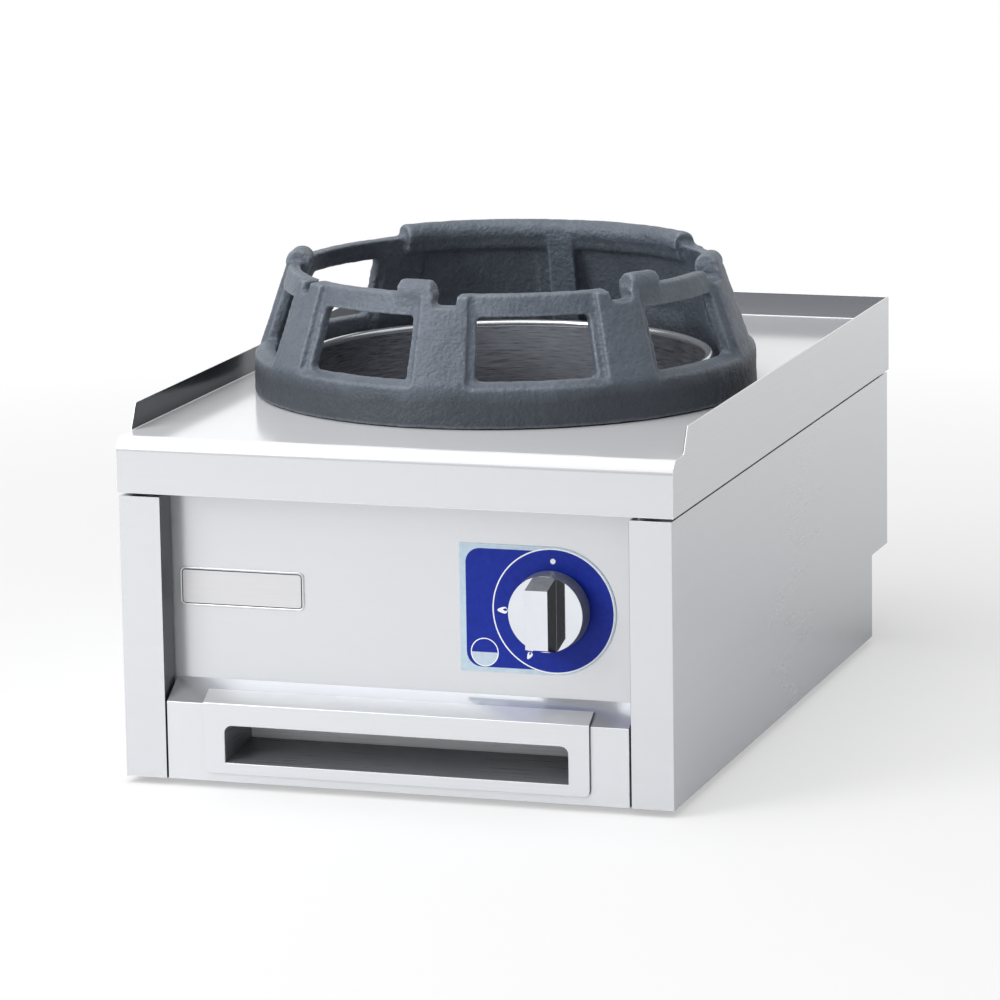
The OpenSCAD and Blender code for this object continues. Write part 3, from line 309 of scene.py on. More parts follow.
def cast_iron(name, deep, face, edge, smooth, dull, dark_foot=None):
    """Sand cast iron under a thin matt paint, worn edges with a painted highlight, darker under a height.
    """
    finish, shader = new_finish(name, {"Metallic": 0.1, "Specular IOR Level": 0.42})
    sand = grain(finish, (sand_mm,) * 3, 4.0)
    waves = grain(finish, (wave_mm,) * 3, 2.0)
    patches = grain(finish, (patch_mm,) * 3, 3.0)
    form = add(finish, "ShaderNodeNewGeometry")
    # Lighter edges: wear from handling and a painted highlight.
    worn_and_lit_edges = spread(finish, form.outputs["Pointiness"], 0.0, 0.6, (0.51, 0.58))
    mottle = add(finish, "ShaderNodeMath", {"operation": "MULTIPLY_ADD"}, {1: 0.6},
                 {0: sand, 2: patches})
    colour = blend_colours(finish, spread(finish, mottle.outputs[0], 0.0, 1.0, (0.5, 1.1)), deep, face)
    # Darker towards the foot of the ring, up to a ragged height.
    if dark_foot:
        place = add(finish, "ShaderNodeTexCoord")
        spot = add(finish, "ShaderNodeSeparateXYZ", links={"Vector": place.outputs["Object"]})
        ragged = add(finish, "ShaderNodeMath", {"operation": "MULTIPLY_ADD"}, {1: ragged_mm * MM},
                     {0: patches, 2: spot.outputs["Z"]})
        darker_below = spread(finish, ragged.outputs[0], 0.75, 0.0, dark_foot)
        colour = blend_colours(finish, darker_below, colour, "#2F333A")
    colour = blend_colours(finish, worn_and_lit_edges, colour, edge)
    relief = raise_grain(finish, waves, wave_high_mm, 0.7)
    relief = raise_grain(finish, sand, sand_high_mm, 1.0, relief)
    join(finish, shader, colour=colour, roughness=spread(finish, sand, smooth, dull), normal=relief)
    return finish


worktop_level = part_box("wok_ring")[0].z
finishes["ring_iron"] = cast_iron("sand_cast_iron_graphite_paint",
                                  "#4F5761", "#656D78", "#A4ADB8", 0.38, 0.54,
                                  [worktop_level + height * MM for height in dark_foot_mm])
finishes["burner_iron"] = cast_iron("sand_cast_iron_heat_dulled",
                                    "#3D3C3C", "#55504C", "#75706B", 0.55, 0.75)
print("cast iron finishes", finishes["ring_iron"].name, finishes["burner_iron"].name)

# %% [markdown]
# ## Chrome, brass, copper and rubber
# The knob is cast zinc under bright chrome: nearly a mirror, with the faint ripple of the polish.
# Brass tap bodies are machined, copper pipes are drawn and brown a little, and the feet are moulded
# rubber with a dull skin. Each is one small recipe of tone, gloss and relief.

# %% Small metal parts and rubber
def small_part(name, metal, first, second, smooth, dull, speck_mm, height_mm, shine=0.5):
    """A tone that wanders between two colours, with gloss and relief at one real size."""
    finish, shader = new_finish(name, {"Metallic": metal, "Specular IOR Level": shine})
    cloud = grain(finish, (speck_mm * 6,) * 3)
    speck = grain(finish, (speck_mm,) * 3)
    join(finish, shader,
         colour=blend_colours(finish, spread(finish, cloud, 0.0, 1.0), first, second),
         roughness=spread(finish, speck, smooth, dull),
         normal=raise_grain(finish, speck, height_mm, 0.3))
    return finish


finishes["chrome"] = small_part("polished_chrome", 1.0, "#DCE0E6", "#E3E7EC", 0.03, 0.08, 4.0, 0.004)
finishes["black_inlay"] = small_part("black_satin_inlay", 0.0, "#141518", "#1E1F23", 0.30, 0.40,
                                     1.0, 0.006, 0.03)
# Painted reflection: the darker grey of the satin chrome on the knob.
finishes["dark_reflection_chrome"] = small_part("dark_reflection_chrome", 0.55, "#74777C", "#888B90", 0.30, 0.42, 1.0, 0.01)
finishes["brass"] = small_part("machined_brass", 1.0, "#B8924A", "#D0AC62", 0.24, 0.38, 1.0, 0.02)
finishes["copper"] = small_part("drawn_copper", 1.0, "#97583A", "#C27B55", 0.26, 0.44, 1.5, 0.02)
finishes["rubber"] = small_part("moulded_rubber", 0.0, "#1B1C1D", "#27282A", 0.62, 0.82, 0.9, 0.05)
print("small part finishes ready")

# %% [markdown]
# ## The printed label
# The label behind the knob is a polyester film, printed from behind: the inks lie under a smooth
# satin face, so they are even, with only the faint mottle of the screen print. The film's own edge
# stays a pale silver.

# %% Printed inks
def ink(name, first, second):
    """An even ink under a satin film."""
    return small_part(name, 0.0, first, second, 0.42, 0.50, 0.7, 0.003, 0.22)


finishes["film"] = ink("pale_silver_film", "#BCCFDD", "#C8DAE6")
finishes["blue_ink"] = ink("screen_printed_blue", "#122891", "#17309C")
finishes["white_ink"] = ink("screen_printed_white", "#F6FAFF", "#FDFEFF")
finishes["grey_ink"] = ink("screen_printed_pale_grey", "#C0D0DE", "#CAD9E6")
print("inks ready, finishes in all", len(finishes))

# %% [markdown]
# ## Dressing the solids
# Most inner pieces have the right shape already, so they keep their solids and only get a finish.
# Every solid names a material slot in its record. A table from slot to finish does nearly all of
# them, and a few pieces differ from their slot.

# %% Finishes for the solids
slot_of = {row["node"]: row["material_slot"] for row in frame["record"]["subparts"]}
slot_finish = {
    "stainless": "cabinet_sheet",
    "inner_steel": "zinc_sheet",
    "zinc_steel": "zinc_plate",
    "cast_iron": "burner_iron",
    "chrome": "chrome",
    "brass": "brass",
    "copper": "copper",
    "name_plate": "plate_face",
    "label": "film",
    "rubber": "rubber",
}
own_finish = {
    "worktop": "top_sheet",
    "lower_front_frame": "front_sheet",
    "tray_front": "front_sheet",
    "finger_recess": "recess_painted_shade",
    "drip_pan": "tray_sheet",
    "well_wall": "well_sheet",
    "well_floor": "well_sheet",
    "wok_ring": "ring_iron",
    "tray_runner_left": "zinc_sheet",
    "tray_runner_right": "zinc_sheet",
    "burner_bar": "zinc_sheet",
    "injector_bar": "zinc_sheet",
}


def finish_of(node):
    return finishes[own_finish.get(node, slot_finish[slot_of[node]])]


for node, solid in frame["nodes"].items():
    solid.material_slots[0].material = finish_of(node)
print("solids dressed", len(frame["nodes"]))

# %% [markdown]
# ## New pieces
# A new piece starts as a bmesh, becomes a mesh at the origin, rides on the body that carries it and
# stands for the solid that it dresses. A solid arrives as loose triangles, so a copy of one is merged
# before its edges can be worked on, and triangles in one plane are joined into whole faces.

# %% Helpers for new pieces
merge_mm = 0.004
flat_degrees = 0.3


def joined_copy(node, whole_faces=True):
    """A bmesh of a solid with its triangles merged, and flat faces made whole."""
    shape = bmesh.new()
    shape.from_mesh(frame["nodes"][node].data)
    bmesh.ops.remove_doubles(shape, verts=shape.verts, dist=merge_mm * MM)
    if whole_faces:
        bmesh.ops.dissolve_limit(shape, angle_limit=math.radians(flat_degrees),
                                 verts=shape.verts, edges=shape.edges)
    return shape


def round_edges(shape, width_mm, segments=2, least=32.0, chosen=None):
    """Bevel the edges that are sharper than the least angle, or a chosen few."""
    sharp = chosen or [edge for edge in shape.edges
                       if len(edge.link_faces) == 2
                       and edge.calc_face_angle() > math.radians(least)]
    bmesh.ops.bevel(shape, geom=sharp, offset=width_mm * MM, offset_type="OFFSET", affect="EDGES",
                    segments=segments, profile=0.5, material=-1, clamp_overlap=True)
    return len(sharp)


def make_piece(shape, name, finish, body, stands_for=None, crisp=40.0):
    """Turn a bmesh into a piece that rides on a body."""
    for face in shape.faces:
        face.smooth = True
    mesh = bpy.data.meshes.new(name)
    shape.to_mesh(mesh)
    shape.free()
    mesh.set_sharp_from_angle(angle=math.radians(crisp))
    mesh.materials.append(finish)
    piece = bpy.data.objects.new(name, mesh)
    scene.collection.objects.link(piece)
    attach(piece, body)
    if stands_for:
        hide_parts(stands_for)
    return piece


print("piece helpers ready")

# %% [markdown]
# ## Folded sheets
# On a real cabinet no fold is a knife edge: the press leaves a small radius, and it is that radius
# that draws a bright line along every corner. The edges could be left to a shader trick, but a bevel
# is real geometry and holds in every light. Weighted normals keep the wide faces flat beside it. The
# upstand round the worktop is buffed to a mirror on its inside. Such a face takes its tone from what
# stands round it. Walls could be set up to show in them, but darker finishes are simpler and hold in
# every view: the sides of the upstand carry a painted dark reflection, and the corners beside the
# posts and the gap beside the drawer carry painted shade. A face's number picks its finish: 0 is the
# sheet's own, and the others follow in the order of the second table.

# %% Sheets and their edges
sheet_edges = {
    "worktop": ("cabinet", 0.5),
    "side_panel_left": ("cabinet", 0.45),
    "side_panel_right": ("cabinet", 0.45),
    "control_panel": ("cabinet", 0.4),
    "lower_front_frame": ("cabinet", 0.45),
    "tray_front": ("tray", 0.5),
    "drip_pan": ("tray", 0.4),
    "rear_panel": ("cabinet", 0.4),
    "rubber_feet": ("cabinet", 0.9),
    "inlet_nuts": ("cabinet", 0.6),
    "foot_nuts": ("cabinet", 0.4),
    "burner_bolts": ("cabinet", 0.4),
}
other_finishes = {
    "worktop": ("upstand_sheet", "cabinet_sheet", "painted_reflection_upstand"),
    "side_panel_left": ("painted_shade_corner",),
    "side_panel_right": ("painted_shade_corner",),
    "lower_front_frame": ("ledge_sheet",),
    "tray_front": ("painted_shade_corner",),
}
print("sheets", len(sheet_edges), "with more finishes", len(other_finishes))

# %% Which finish a face gets
panel_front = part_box("control_panel")[0].y
upstand_low = worktop_level + 2.0 * MM
tray_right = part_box("tray_front")[1].x - 1.0 * MM
skirt_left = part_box("worktop")[0].x + 0.2 * MM
inward_m = 0.05
some_share = 0.3
half_share = 0.5
most_share = 0.7
full_share = 0.95


def finish_number(node, face):
    """The number of a face's finish, from where it is and how far it turns to one side."""
    middle = face.calc_center_median()
    facing = face.normal
    in_front = middle.y < panel_front
    if node == "worktop":
        raised = middle.z > upstand_low and abs(facing.z) < half_share
        if raised and facing.y < -most_share and middle.y > 0:
            return 1
        # The upstand's inner sides get the painted dark reflection.
        if raised and facing.x * middle.x < -inward_m:
            return 3
        left_skirt = facing.x < -full_share and middle.x < skirt_left
        return 2 if left_skirt or (in_front and facing.y < -full_share) else 0
    # The returns beside the posts and the end of the tray front get the painted shade finish.
    if node == "side_panel_left":
        return 1 if in_front and facing.x > most_share else 0
    if node == "side_panel_right":
        return 1 if in_front and facing.x < -some_share else 0
    if node == "lower_front_frame":
        return 1 if facing.z > some_share else 0
    if node == "tray_front":
        return 1 if facing.x > some_share and middle.x > tray_right else 0
    return 0


print("upstand starts", round(upstand_low, 4), "panel stands at", round(panel_front, 4))

# %% Folded sheets with soft edges
for node, (body, width) in sheet_edges.items():
    shape = joined_copy(node)
    count = round_edges(shape, width)
    shape.normal_update()
    for face in shape.faces:
        face.material_index = finish_number(node, face)
    sheet = make_piece(shape, "folded_" + node, finish_of(node), body, node)
    for other in other_finishes.get(node, ()):
        sheet.data.materials.append(finishes[other])
    flat = sheet.modifiers.new("flat_faces", "WEIGHTED_NORMAL")
    flat.keep_sharp = True
    print(sheet.name, "edges", count, "faces", len(sheet.data.polygons))

# %% [markdown]
# ## The well's rim
# The well is spun from one sheet, and its upper edge is rolled over a wire. The roll carries a painted
# highlight, and the darker wall below carries painted shade. The solid's shape is right, so a copy of
# it only gets a second finish above a height.

# %% Well with a bright rim
shape = joined_copy("well_wall")
rim_high_mm = 5.2
rim_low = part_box("well_wall")[1].z - rim_high_mm * MM
for face in shape.faces:
    # Faces above the height get the painted highlight of the rim.
    face.material_index = 1 if face.calc_center_median().z > rim_low else 0
well = make_piece(shape, "rolled_well_wall", finishes["well_sheet"], "cabinet",
                  "well_wall", 30.0)
well.data.materials.append(finishes["rim_painted_highlight"])
print("well faces", len(well.data.polygons))

# %% [markdown]
# ## The finger recess
# Behind the drawer's slot a bent sheet makes room for the fingers. Its floor climbs to the back, and
# the sheet's dark tone is painted shade. The plate behind it is pale, a painted reflection of the
# light from in front. Both are one sheet, so a copy keeps its shape and only the plate that faces the
# slot gets that finish.

# %% Finger recess
shape = joined_copy("finger_recess")
flat_share = 0.9
recess_plate_mm = 4.0
recess_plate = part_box("finger_recess")[1].y - recess_plate_mm * MM
for face in shape.faces:
    # The plate that faces the slot gets the painted reflection, the rest the painted shade.
    behind = face.normal.y < -flat_share and face.calc_center_median().y > recess_plate
    face.material_index = 1 if behind else 0
count = sum(face.material_index for face in shape.faces)
recess = make_piece(shape, "bent_finger_recess", finishes["recess_painted_shade"], "tray",
                    "finger_recess", 25.0)
recess.data.materials.append(finishes["pale_back_painted_reflection"])
print("recess faces", len(recess.data.polygons), "at the back", count)

# %% [markdown]
# ## The name plate
# A stamped plate sits on the left of the panel. Its face is left blank. A narrow groove runs round it
# just inside the rim and carries a painted shadow, so it reads as a fine dark line. Two insets mark the
# groove, the strip between them is pushed in and gets its own finish.

# %% Blank name plate
plate_round_mm = 0.3
plate_rim_mm = 0.9
groove_w_mm = 0.7
groove_slope_mm = 0.08
groove_deep_mm = 0.25
shape = joined_copy("name_plate")
round_edges(shape, plate_round_mm)
front = min(shape.faces, key=lambda face: (round(face.calc_center_median().y, 6), -face.calc_area()))
bmesh.ops.inset_region(shape, faces=[front], thickness=plate_rim_mm * MM, use_boundary=True,
                       use_even_offset=True)
strip = bmesh.ops.inset_region(shape, faces=[front], thickness=groove_w_mm * MM, use_boundary=True,
                               use_even_offset=True)["faces"]
# The groove's strip gets the painted shadow.
for face in strip:
    face.material_index = 1
bmesh.ops.inset_region(shape, faces=strip, thickness=groove_slope_mm * MM, depth=-groove_deep_mm * MM,
                       use_boundary=True, use_even_offset=True)
plate = make_piece(shape, "blank_name_plate", finishes["plate_face"], "cabinet",
                   "name_plate", 25.0)
plate.data.materials.append(finishes["groove_painted_shadow"])
print("name plate faces", len(plate.data.polygons), "in the groove", len(strip))

# %% [markdown]
# ## The rear panel's screws
# The rear panel is held by pan head screws with a cross recess. A disc with a shader's cross would
# look flat from close by. Here the rim of each head is rounded, a smaller disc is marked on it, four
# cuts divide that disc, and the five cells that form the cross are pushed in.

# %% Screws with a cross recess
head_round_mm = 0.9
head_land_mm = 0.6
recess_w_mm = 1.1
recess_deep_mm = 1.1
recess_slope_mm = 0.1
level_mm = 0.02
shape = joined_copy("rear_panel_screws")
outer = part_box("rear_panel_screws")[1].y


def heads_of(shape):
    """The flat outer faces of the screw heads."""
    return [face for face in shape.faces
            if face.normal.y > flat_share and face.calc_center_median().y > outer - level_mm * MM]


round_edges(shape, head_round_mm, 3, chosen=[edge for head in heads_of(shape) for edge in head.edges])
heads = [(head, head.calc_center_median()) for head in heads_of(shape)]
for head, middle in heads:
    bmesh.ops.inset_region(shape, faces=[head], thickness=head_land_mm * MM, use_boundary=True,
                           use_even_offset=True)
    cells = [head]
    for side in (-0.5, 0.5):
        for across in (Vector((1, 0, 0)), Vector((0, 0, 1))):
            around_cells = {item for cell in cells for item in (*cell.edges, *cell.verts)}
            cut = bmesh.ops.bisect_plane(shape, geom=[*cells, *around_cells], dist=1e-7,
                                         plane_co=middle + across * side * recess_w_mm * MM,
                                         plane_no=across)
            cells = [item for item in cut["geom"] if isinstance(item, bmesh.types.BMFace)]
    cross = []
    for cell in cells:
        away = cell.calc_center_median() - middle
        if min(abs(away.x), abs(away.z)) < recess_w_mm * MM / 2:
            cross.append(cell)
    bmesh.ops.inset_region(shape, faces=cross, thickness=recess_slope_mm * MM,
                           depth=-recess_deep_mm * MM, use_boundary=True, use_even_offset=True)
screws = make_piece(shape, "cross_head_rear_screws", finishes["zinc_plate"], "cabinet",
                    "rear_panel_screws", 35.0)
print("rear screws", len(heads), "faces", len(screws.data.polygons))

# %% [markdown]
# ## The gas inlet's thread
# The stub at the back carries a half inch pipe thread, fourteen turns to the inch, which the solid
# shows only as a plain cylinder of its outer size. A bump would leave the outline smooth. A zigzag of
# crests and roots is spun once round the axis while it climbs by one turn, so each tooth runs into the
# next one and the doubles merge into one screw. Two cuts trim its ends, a rim drawn inwards closes
# each of them, and a copy of the solid, a little thinner there, carries it.

# %% Threaded gas inlet
pitch_mm = 25.4 / 14
thread_deep_mm = 1.1
thread_long_mm = 28.0
end_gap_mm = 0.3
weld_mm = 0.01
turn_steps = 48
inlet_low, inlet_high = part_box("gas_inlet")
axis_point = (inlet_low + inlet_high) / 2
crest = (inlet_high.x - inlet_low.x) / 2
root = crest - thread_deep_mm * MM
thread_start = inlet_high.y - thread_long_mm * MM

thread = bmesh.new()
teeth = int(thread_long_mm / pitch_mm) + 3
chain = []
for half_turn in range(teeth * 2):
    reach_out = crest if half_turn % 2 else root
    along_axis = thread_start + (half_turn / 2 - 2) * pitch_mm * MM
    chain.append(thread.verts.new((axis_point.x + reach_out, along_axis, axis_point.z)))
links = [thread.edges.new(pair) for pair in zip(chain, chain[1:])]
bmesh.ops.spin(thread, geom=chain + links, cent=axis_point, axis=(0, 1, 0), angle=math.tau,
               dvec=(0, pitch_mm * MM / turn_steps, 0), steps=turn_steps, use_merge=False)
bmesh.ops.remove_doubles(thread, verts=thread.verts, dist=weld_mm * MM)
for trim, outward in ((thread_start, -1), (inlet_high.y - end_gap_mm * MM, 1)):
    bmesh.ops.bisect_plane(thread, geom=thread.verts[:] + thread.edges[:] + thread.faces[:],
                           plane_co=(0, trim, 0), plane_no=(0, outward, 0), clear_outer=True)
rims = [edge for edge in thread.edges if edge.is_boundary]
lids = bmesh.ops.extrude_edge_only(thread, edges=rims)["geom"]
for vert in lids:
    if isinstance(vert, bmesh.types.BMVert):
        away = Vector((vert.co.x - axis_point.x, 0, vert.co.z - axis_point.z))
        vert.co -= away * (1 - root / away.length)
bmesh.ops.remove_doubles(thread, verts=thread.verts, dist=weld_mm * MM)
bmesh.ops.recalc_face_normals(thread, faces=thread.faces)
outwards = sum(face.normal.dot(face.calc_center_median() - axis_point) for face in thread.faces)
if outwards < 0:
    bmesh.ops.reverse_faces(thread, faces=thread.faces)
print("thread turns", round(thread_long_mm / pitch_mm, 1), "faces", len(thread.faces))

# %% The stub that carries the thread
stub = joined_copy("gas_inlet", False)
core = root + 0.2 * MM
too_thick = root + 0.3 * MM
for vert in stub.verts:
    away = Vector((vert.co.x - axis_point.x, 0, vert.co.z - axis_point.z))
    if vert.co.y > thread_start - weld_mm * MM and away.length > too_thick:
        vert.co -= away * (1 - core / away.length)
thread_mesh = bpy.data.meshes.new("thread_turns")
thread.to_mesh(thread_mesh)
thread.free()
stub.from_mesh(thread_mesh)
inlet = make_piece(stub, "threaded_gas_inlet", finishes["zinc_plate"], "cabinet",
                   "gas_inlet", 30.0)
print("inlet faces", len(inlet.data.polygons))

# %% [markdown]
# ## The return spring
# The spring behind the knob has the right shape, and it must give way when the knob is pushed in. A
# copy of it gets a mesh of its own.

# %% Return spring
spring = make_piece(joined_copy("return_spring", False), "coiled_return_spring", finishes["zinc_plate"],
                    "cabinet", "return_spring")
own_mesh(spring)

# %% [markdown]
# ## The cast ring
# A casting has no sharp edge anywhere: sand can't hold one, so every corner and every meeting of two
# walls is rounded by a few millimetres. Beveling each edge of such a shape by hand is slow and breaks
# where many edges meet. A voxel skin over a copy of the solid, relaxed a little, rounds them all at
# once, outside and inside corners alike, and a slow displacement adds the waves of the mould.

# %% The ring's cast skin
ring = make_piece(joined_copy("wok_ring", False), "cast_wok_ring", finishes["ring_iron"],
                  "ring", "wok_ring", 180.0)
skin = ring.modifiers.new("cast_skin", "REMESH")
skin.mode = "VOXEL"
skin.voxel_size = 1.5 * MM
skin.use_smooth_shade = True
relax = ring.modifiers.new("rounded_edges", "SMOOTH")
relax.factor = 0.5
relax.iterations = 8
mould = bpy.data.textures.new("mould_waves", "CLOUDS")
mould.noise_scale = 9.0 * MM
mould.noise_depth = 2
waves = ring.modifiers.new("mould_waves", "DISPLACE")
waves.texture = mould
waves.texture_coords = "LOCAL"
waves.strength = 0.8 * MM
waves.mid_level = 0.75
print("cast ring", skin.voxel_size, "m voxels")

# %% [markdown]
# ## The knob
# The knob is a chrome disc with a tall bar to grip. Its look is all reflections, so its edges matter
# most: a small radius catches the light at the bar's rim and round the disc. The flanks of the bar
# are black inlays, and the bar's upper end and the skirt round the disc are satin chrome whose darker
# grey is a painted dark reflection. Each face's own direction tells which finish it gets: a flank
# looks sideways, the skirt away from the turning axis.

# %% Chrome knob
bar_deep_mm = 20.0
knob_round_mm = 0.6
end_share = 0.35
shape = joined_copy("knob")
face_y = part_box("knob")[0].y + bar_deep_mm * MM
count = round_edges(shape, knob_round_mm, 3, 25.0)
shape.normal_update()
for face in shape.faces:
    on_bar = face.calc_center_median().y < face_y
    flank = on_bar and (abs(face.normal.x) > full_share or face.normal.x < -some_share)
    end = on_bar and face.normal.z > end_share
    skirt = not on_bar and abs(face.normal.y) < flat_share
    # The skirt and the bar's end get the painted dark reflection.
    face.material_index = 1 if flank else 2 if skirt or end else 0
knob = make_piece(shape, "chrome_knob", finishes["chrome"], "knob", "knob", 30.0)
knob.data.materials.append(finishes["black_inlay"])
knob.data.materials.append(finishes["dark_reflection_chrome"])
flat = knob.modifiers.new("flat_faces", "WEIGHTED_NORMAL")
flat.keep_sharp = True
kinds = [sum(face.material_index == kind for face in knob.data.polygons) for kind in range(3)]
print("knob edges", count, "bright, black and satin faces", kinds)

# %% [markdown]
# ## The print on the label
# The blue field, the white circle and the marks could be painted by a shader, but their edges would
# blur in a baked texture. Each is a thin layer of its own, a twentieth of a millimetre proud of the
# one below, so it stays crisp. Only plain signs are printed: a dot for off, two drops for the flame
# and a half filled disc for the ring.

# %% Layers of the print
label_low, label_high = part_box("control_label")
label_radius = (label_high.z - label_low.z) / 2
dial = Vector((label_high.x - label_radius, label_low.y, label_low.z + label_radius))
layer = 0.05 * MM


def lay_print(shape, name, finish, level):
    """Turn a flat shape drawn in x and z into a layer of print on the label's face."""
    bmesh.ops.recalc_face_normals(shape, faces=shape.faces)
    for face in shape.faces:
        if face.normal.y > 0:
            face.normal_flip()
    bmesh.ops.translate(shape, verts=shape.verts, vec=(0, label_low.y - level * layer, 0))
    raised = bmesh.ops.extrude_face_region(shape, geom=shape.faces[:], use_keep_orig=True)
    fresh = [item for item in raised["geom"] if isinstance(item, bmesh.types.BMVert)]
    bmesh.ops.translate(shape, verts=fresh, vec=(0, -layer, 0))
    bmesh.ops.recalc_face_normals(shape, faces=shape.faces)
    return make_piece(shape, name, finishes[finish], "cabinet")


def disc(radius_mm, centre, steps=64):
    """A flat disc that faces the front."""
    shape = bmesh.new()
    upright = Matrix.Translation((centre[0], 0, centre[1])) @ Matrix.Rotation(math.pi / 2, 4, "X")
    bmesh.ops.create_circle(shape, cap_ends=True, radius=radius_mm * MM, segments=steps,
                            matrix=upright)
    return shape


def open_middle(shape, line_mm):
    """Keep only a line of the given width along the rim of a flat shape."""
    inner = shape.faces[:]
    bmesh.ops.inset_region(shape, faces=inner, thickness=line_mm * MM, use_boundary=True,
                           use_even_offset=True)
    bmesh.ops.delete(shape, geom=inner, context="FACES_ONLY")
    return shape


def around(radius_mm, degrees):
    """A point on the dial, with the angle counted from the top towards the left."""
    angle = math.radians(degrees)
    return (dial.x - radius_mm * MM * math.sin(angle), dial.z + radius_mm * MM * math.cos(angle))


print("dial at", [round(v, 4) for v in dial])

# %% The blue field
edge_mm = 3.1
left_edge_mm = 4.4
corner_mm = 10.5
field = bmesh.new()
top = field.verts.new((dial.x, 0, dial.z + label_radius - edge_mm * MM))
bmesh.ops.spin(field, geom=[top], cent=(dial.x, 0, dial.z), axis=(0, 1, 0), angle=math.pi, steps=48,
               use_merge=False)
ends = sorted((v for v in field.verts if len(v.link_edges) == 1), key=lambda v: v.co.z)
left = label_low.x + left_edge_mm * MM
corners = [field.verts.new((left, 0, end.co.z)) for end in ends]
for end, corner in zip(ends, corners):
    field.edges.new((end, corner))
field.edges.new(corners)
bmesh.ops.bevel(field, geom=corners, offset=corner_mm * MM, affect="VERTICES", segments=10,
                profile=0.5, material=-1)
bmesh.ops.contextual_create(field, geom=field.edges[:])
print("field reaches", round((dial.x - left) / MM, 1), "mm left of the dial")
lay_print(field, "print_blue_field", "blue_ink", 0)

# %% Lines and signs of the print
circle_line_mm = 0.9
circle_mm = label_radius / MM - circle_line_mm
dot_mm = 1.9
dot_place_mm = 34.6
dial_disc = disc(circle_mm, (dial.x, dial.z), 96)
dial_line = open_middle(disc(circle_mm, (dial.x, dial.z), 96), circle_line_mm)
lay_print(dial_disc, "print_blue_dial", "blue_ink", 1)
lay_print(dial_line, "print_dial_circle", "white_ink", 2)
lay_print(disc(dot_mm, around(dot_place_mm, 0), 24), "print_off_dot", "white_ink", 2)
belly_share = 0.34
stretch_share = 1.1


def drop(height_mm, centre, lean):
    """A drop: a disc whose top is drawn out to a point, turned to lean over."""
    shape = disc(height_mm * belly_share, (0, 0), 24)
    for vert in shape.verts:
        rise = max(vert.co.z, 0.0)
        vert.co.z += rise * stretch_share
        vert.co.x *= 1.0 - rise / (height_mm * MM)
    bmesh.ops.rotate(shape, verts=shape.verts, cent=(0, 0, 0),
                     matrix=Matrix.Rotation(math.radians(lean), 3, "Y"))
    bmesh.ops.translate(shape, verts=shape.verts, vec=(centre[0], 0, centre[1]))
    return shape


flames = (
    ("print_large_flame", "white_ink", 2, 7.0, 35.2, 91.7, -90.0),
    ("print_large_flame_core", "blue_ink", 3, 2.8, 34.1, 91.0, -90.0),
    ("print_small_flame", "white_ink", 2, 5.4, 35.4, 151.0, -151.0),
    ("print_small_flame_core", "blue_ink", 3, 2.0, 34.5, 150.6, -151.0),
)
for name, inked, level, height_mm, place_mm, degrees, lean in flames:
    lay_print(drop(height_mm, around(place_mm, degrees), lean), name, inked, level)
print("dial circle", round(circle_mm, 1), "mm, flames", len(flames))

# %% The half disc sign
sign_mm = 10.0
sign_line_mm = 0.7
sign_right_mm = 58.8
sign_below_mm = 31.1
sign_centre = (sign_right_mm * MM, dial.z - sign_below_mm * MM)
lay_print(open_middle(disc(sign_mm, sign_centre), sign_line_mm), "print_ring_sign", "white_ink", 1)
half = disc(sign_mm - sign_line_mm, sign_centre)
bmesh.ops.bisect_plane(half, geom=half.verts[:] + half.edges[:] + half.faces[:],
                       plane_co=(0, 0, sign_centre[1]), plane_no=(0, 0, 1), clear_outer=True)
lay_print(half, "print_half_sign", "grey_ink", 1)
print("print layers laid on the label")

# %% [markdown]
# ## Floor and light
# The object stands on a pale floor in soft studio light. The floor fades to plain white away from the
# object, so that the picture's ground is white without more light on the steel, and it keeps the
# shadow close by. Bright sheet metal mirrors its surroundings, so the floor shows its white to
# reflections too, only further out, so that the shaded side of the cabinet mirrors the shade.

# %% Floor
floor_shape = bmesh.new()
bmesh.ops.create_circle(floor_shape, cap_ends=True, radius=14.0, segments=64)
floor_mesh = bpy.data.meshes.new("floor")
floor_shape.to_mesh(floor_mesh)
floor_shape.free()
floor = bpy.data.objects.new("floor", floor_mesh)
scene.collection.objects.link(floor)

fade_near_m = (0.45, 1.5)
fade_far_m = (0.55, 2.0)
white_share = 0.45
paper, paper_shader = new_finish("white_paper_floor", {
    "Base Color": linear("#F1F1F2"), "Roughness": 0.9, "Specular IOR Level": 0.1})
rays = add(paper, "ShaderNodeLightPath")
place = add(paper, "ShaderNodeTexCoord")
reach = add(paper, "ShaderNodeVectorMath", {"operation": "LENGTH"}, None,
            {"Vector": place.outputs["Object"]})
near = spread(paper, reach.outputs["Value"], white_share, 1.0, fade_near_m)
far = spread(paper, reach.outputs["Value"], 0.0, 1.0, fade_far_m)
bounced = add(paper, "ShaderNodeMath", {"operation": "MAXIMUM"}, None,
              {0: rays.outputs["Is Glossy Ray"], 1: rays.outputs["Is Transmission Ray"]})
direct = add(paper, "ShaderNodeMath", {"operation": "MULTIPLY"}, None,
             {0: rays.outputs["Is Camera Ray"], 1: near})
share = add(paper, "ShaderNodeMath", {"operation": "MULTIPLY_ADD"}, None,
            {0: bounced.outputs[0], 1: far, 2: direct.outputs[0]})
glow = add(paper, "ShaderNodeEmission", None, {"Color": (1, 1, 1, 1), "Strength": 1.0})
both = add(paper, "ShaderNodeMixShader", None, None,
           {0: share.outputs[0], 1: paper_shader.outputs[0], 2: glow.outputs[0]})
paper.node_tree.links.new(both.outputs[0], paper.node_tree.nodes["Material Output"].inputs["Surface"])
floor_mesh.materials.append(paper)
print("floor", floor.dimensions.x, "m across")

# %% [markdown]
# ## The studio round the object
# The backdrop behind the object and the ceiling are white, and the room low behind the camera is
# darker. All of it shows in the steel, and that is what makes it look like metal. A picture of a real
# studio could be used, but a few smooth steps are enough, and only a plain grey level lights the object.

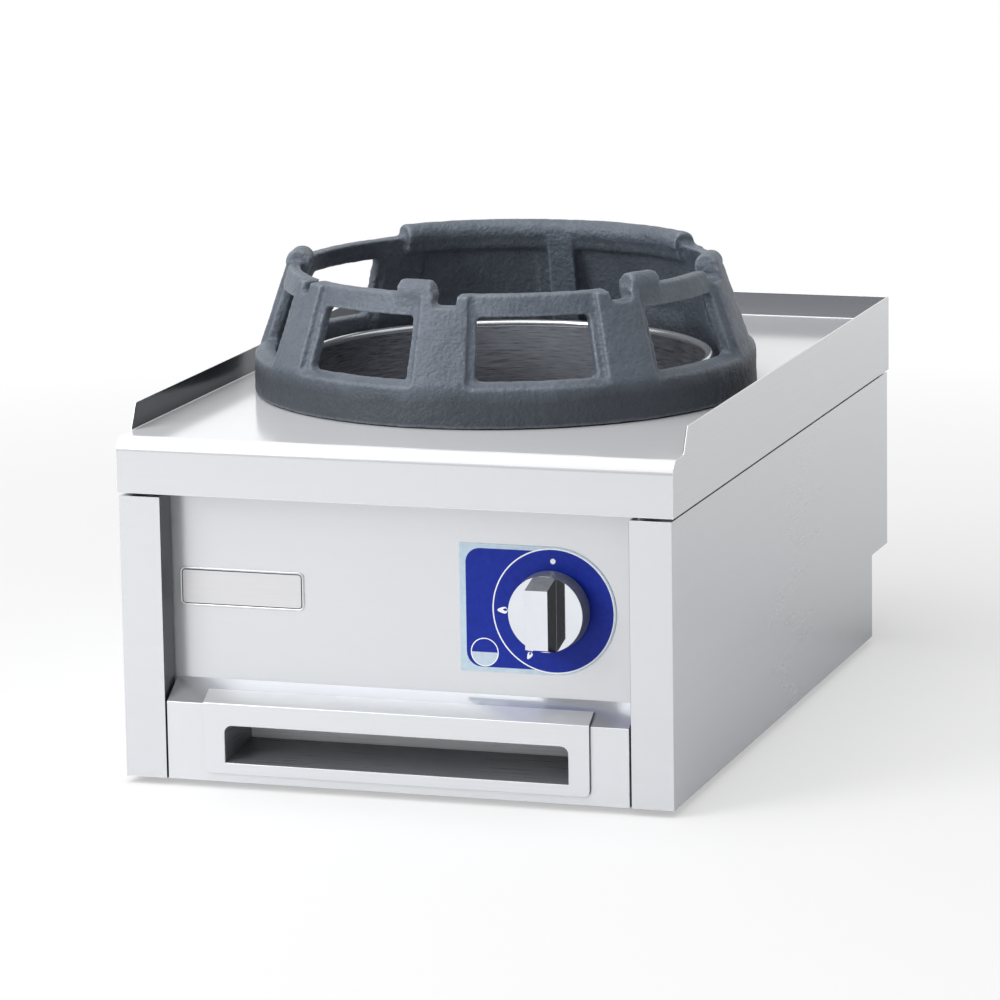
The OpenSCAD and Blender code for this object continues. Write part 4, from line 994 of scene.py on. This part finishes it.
# %% World
dark_room = 0.25
plain_light = 0.33
world = bpy.data.worlds.new("studio")
scene.world = world
world.use_nodes = True
sky = world.node_tree.nodes["Background"]
rays = add(world, "ShaderNodeLightPath")
seen = add(world, "ShaderNodeMath", {"operation": "MAXIMUM"},
           links={0: rays.outputs["Is Camera Ray"], 1: rays.outputs["Is Glossy Ray"]})
seen = add(world, "ShaderNodeMath", {"operation": "MAXIMUM"},
           links={0: seen.outputs[0], 1: rays.outputs["Is Transmission Ray"]})
toward = add(world, "ShaderNodeTexCoord")
heading = add(world, "ShaderNodeSeparateXYZ", links={"Vector": toward.outputs["Generated"]})
backdrop = add(world, "ShaderNodeMapRange", {"interpolation_type": "SMOOTHSTEP"},
               {"From Min": -0.4, "From Max": 0.3, "To Min": dark_room, "To Max": 1.0},
               {"Value": heading.outputs["Y"]})
ceiling = add(world, "ShaderNodeMapRange", {"interpolation_type": "SMOOTHSTEP"},
              {"From Min": 0.0, "From Max": 0.45, "To Min": dark_room, "To Max": 1.0},
              {"Value": heading.outputs["Z"]})
room = add(world, "ShaderNodeMath", {"operation": "MAXIMUM"},
           links={0: backdrop.outputs["Result"], 1: ceiling.outputs["Result"]})
level = add(world, "ShaderNodeMix", {"data_type": "FLOAT"}, {"A": plain_light},
            {"Factor": seen.outputs[0], "B": room.outputs[0]})
sky.inputs["Color"].default_value = (1, 1, 1, 1)
world.node_tree.links.new(level.outputs[0], sky.inputs["Strength"])
print("world lights at", plain_light)

# %% [markdown]
# ## Lamps
# Two soft boxes light the object, as on a photographer's table: one from the left of the front, which
# models the ring and the knob, and a large one above. Their power is set so that a colour comes out
# about as it is written. Wide boxes make soft shadows and no hard glare on the sheet.

# %% Lamps
def soft_lamp(name, place, target, size, power):
    """A square soft box that looks at a point."""
    lamp = bpy.data.lights.new(name, "AREA")
    lamp.shape = "SQUARE"
    lamp.size = size
    lamp.energy = power
    holder = bpy.data.objects.new(name, lamp)
    aim = (Vector(target) - Vector(place)).to_track_quat("-Z", "Y")
    holder.matrix_world = Matrix.Translation(place) @ aim.to_matrix().to_4x4()
    scene.collection.objects.link(holder)
    return holder


middle = (0.0, 0.0, 0.2)
lamps = [
    soft_lamp("key_box", place=(-1.5, -1.9, 1.3), target=middle, size=1.2, power=31.0),
    soft_lamp("top_box", place=(-0.4, -0.6, 2.4), target=middle, size=2.4, power=41.0),
]
print("lamps", [(lamp.name, lamp.data.energy) for lamp in lamps])
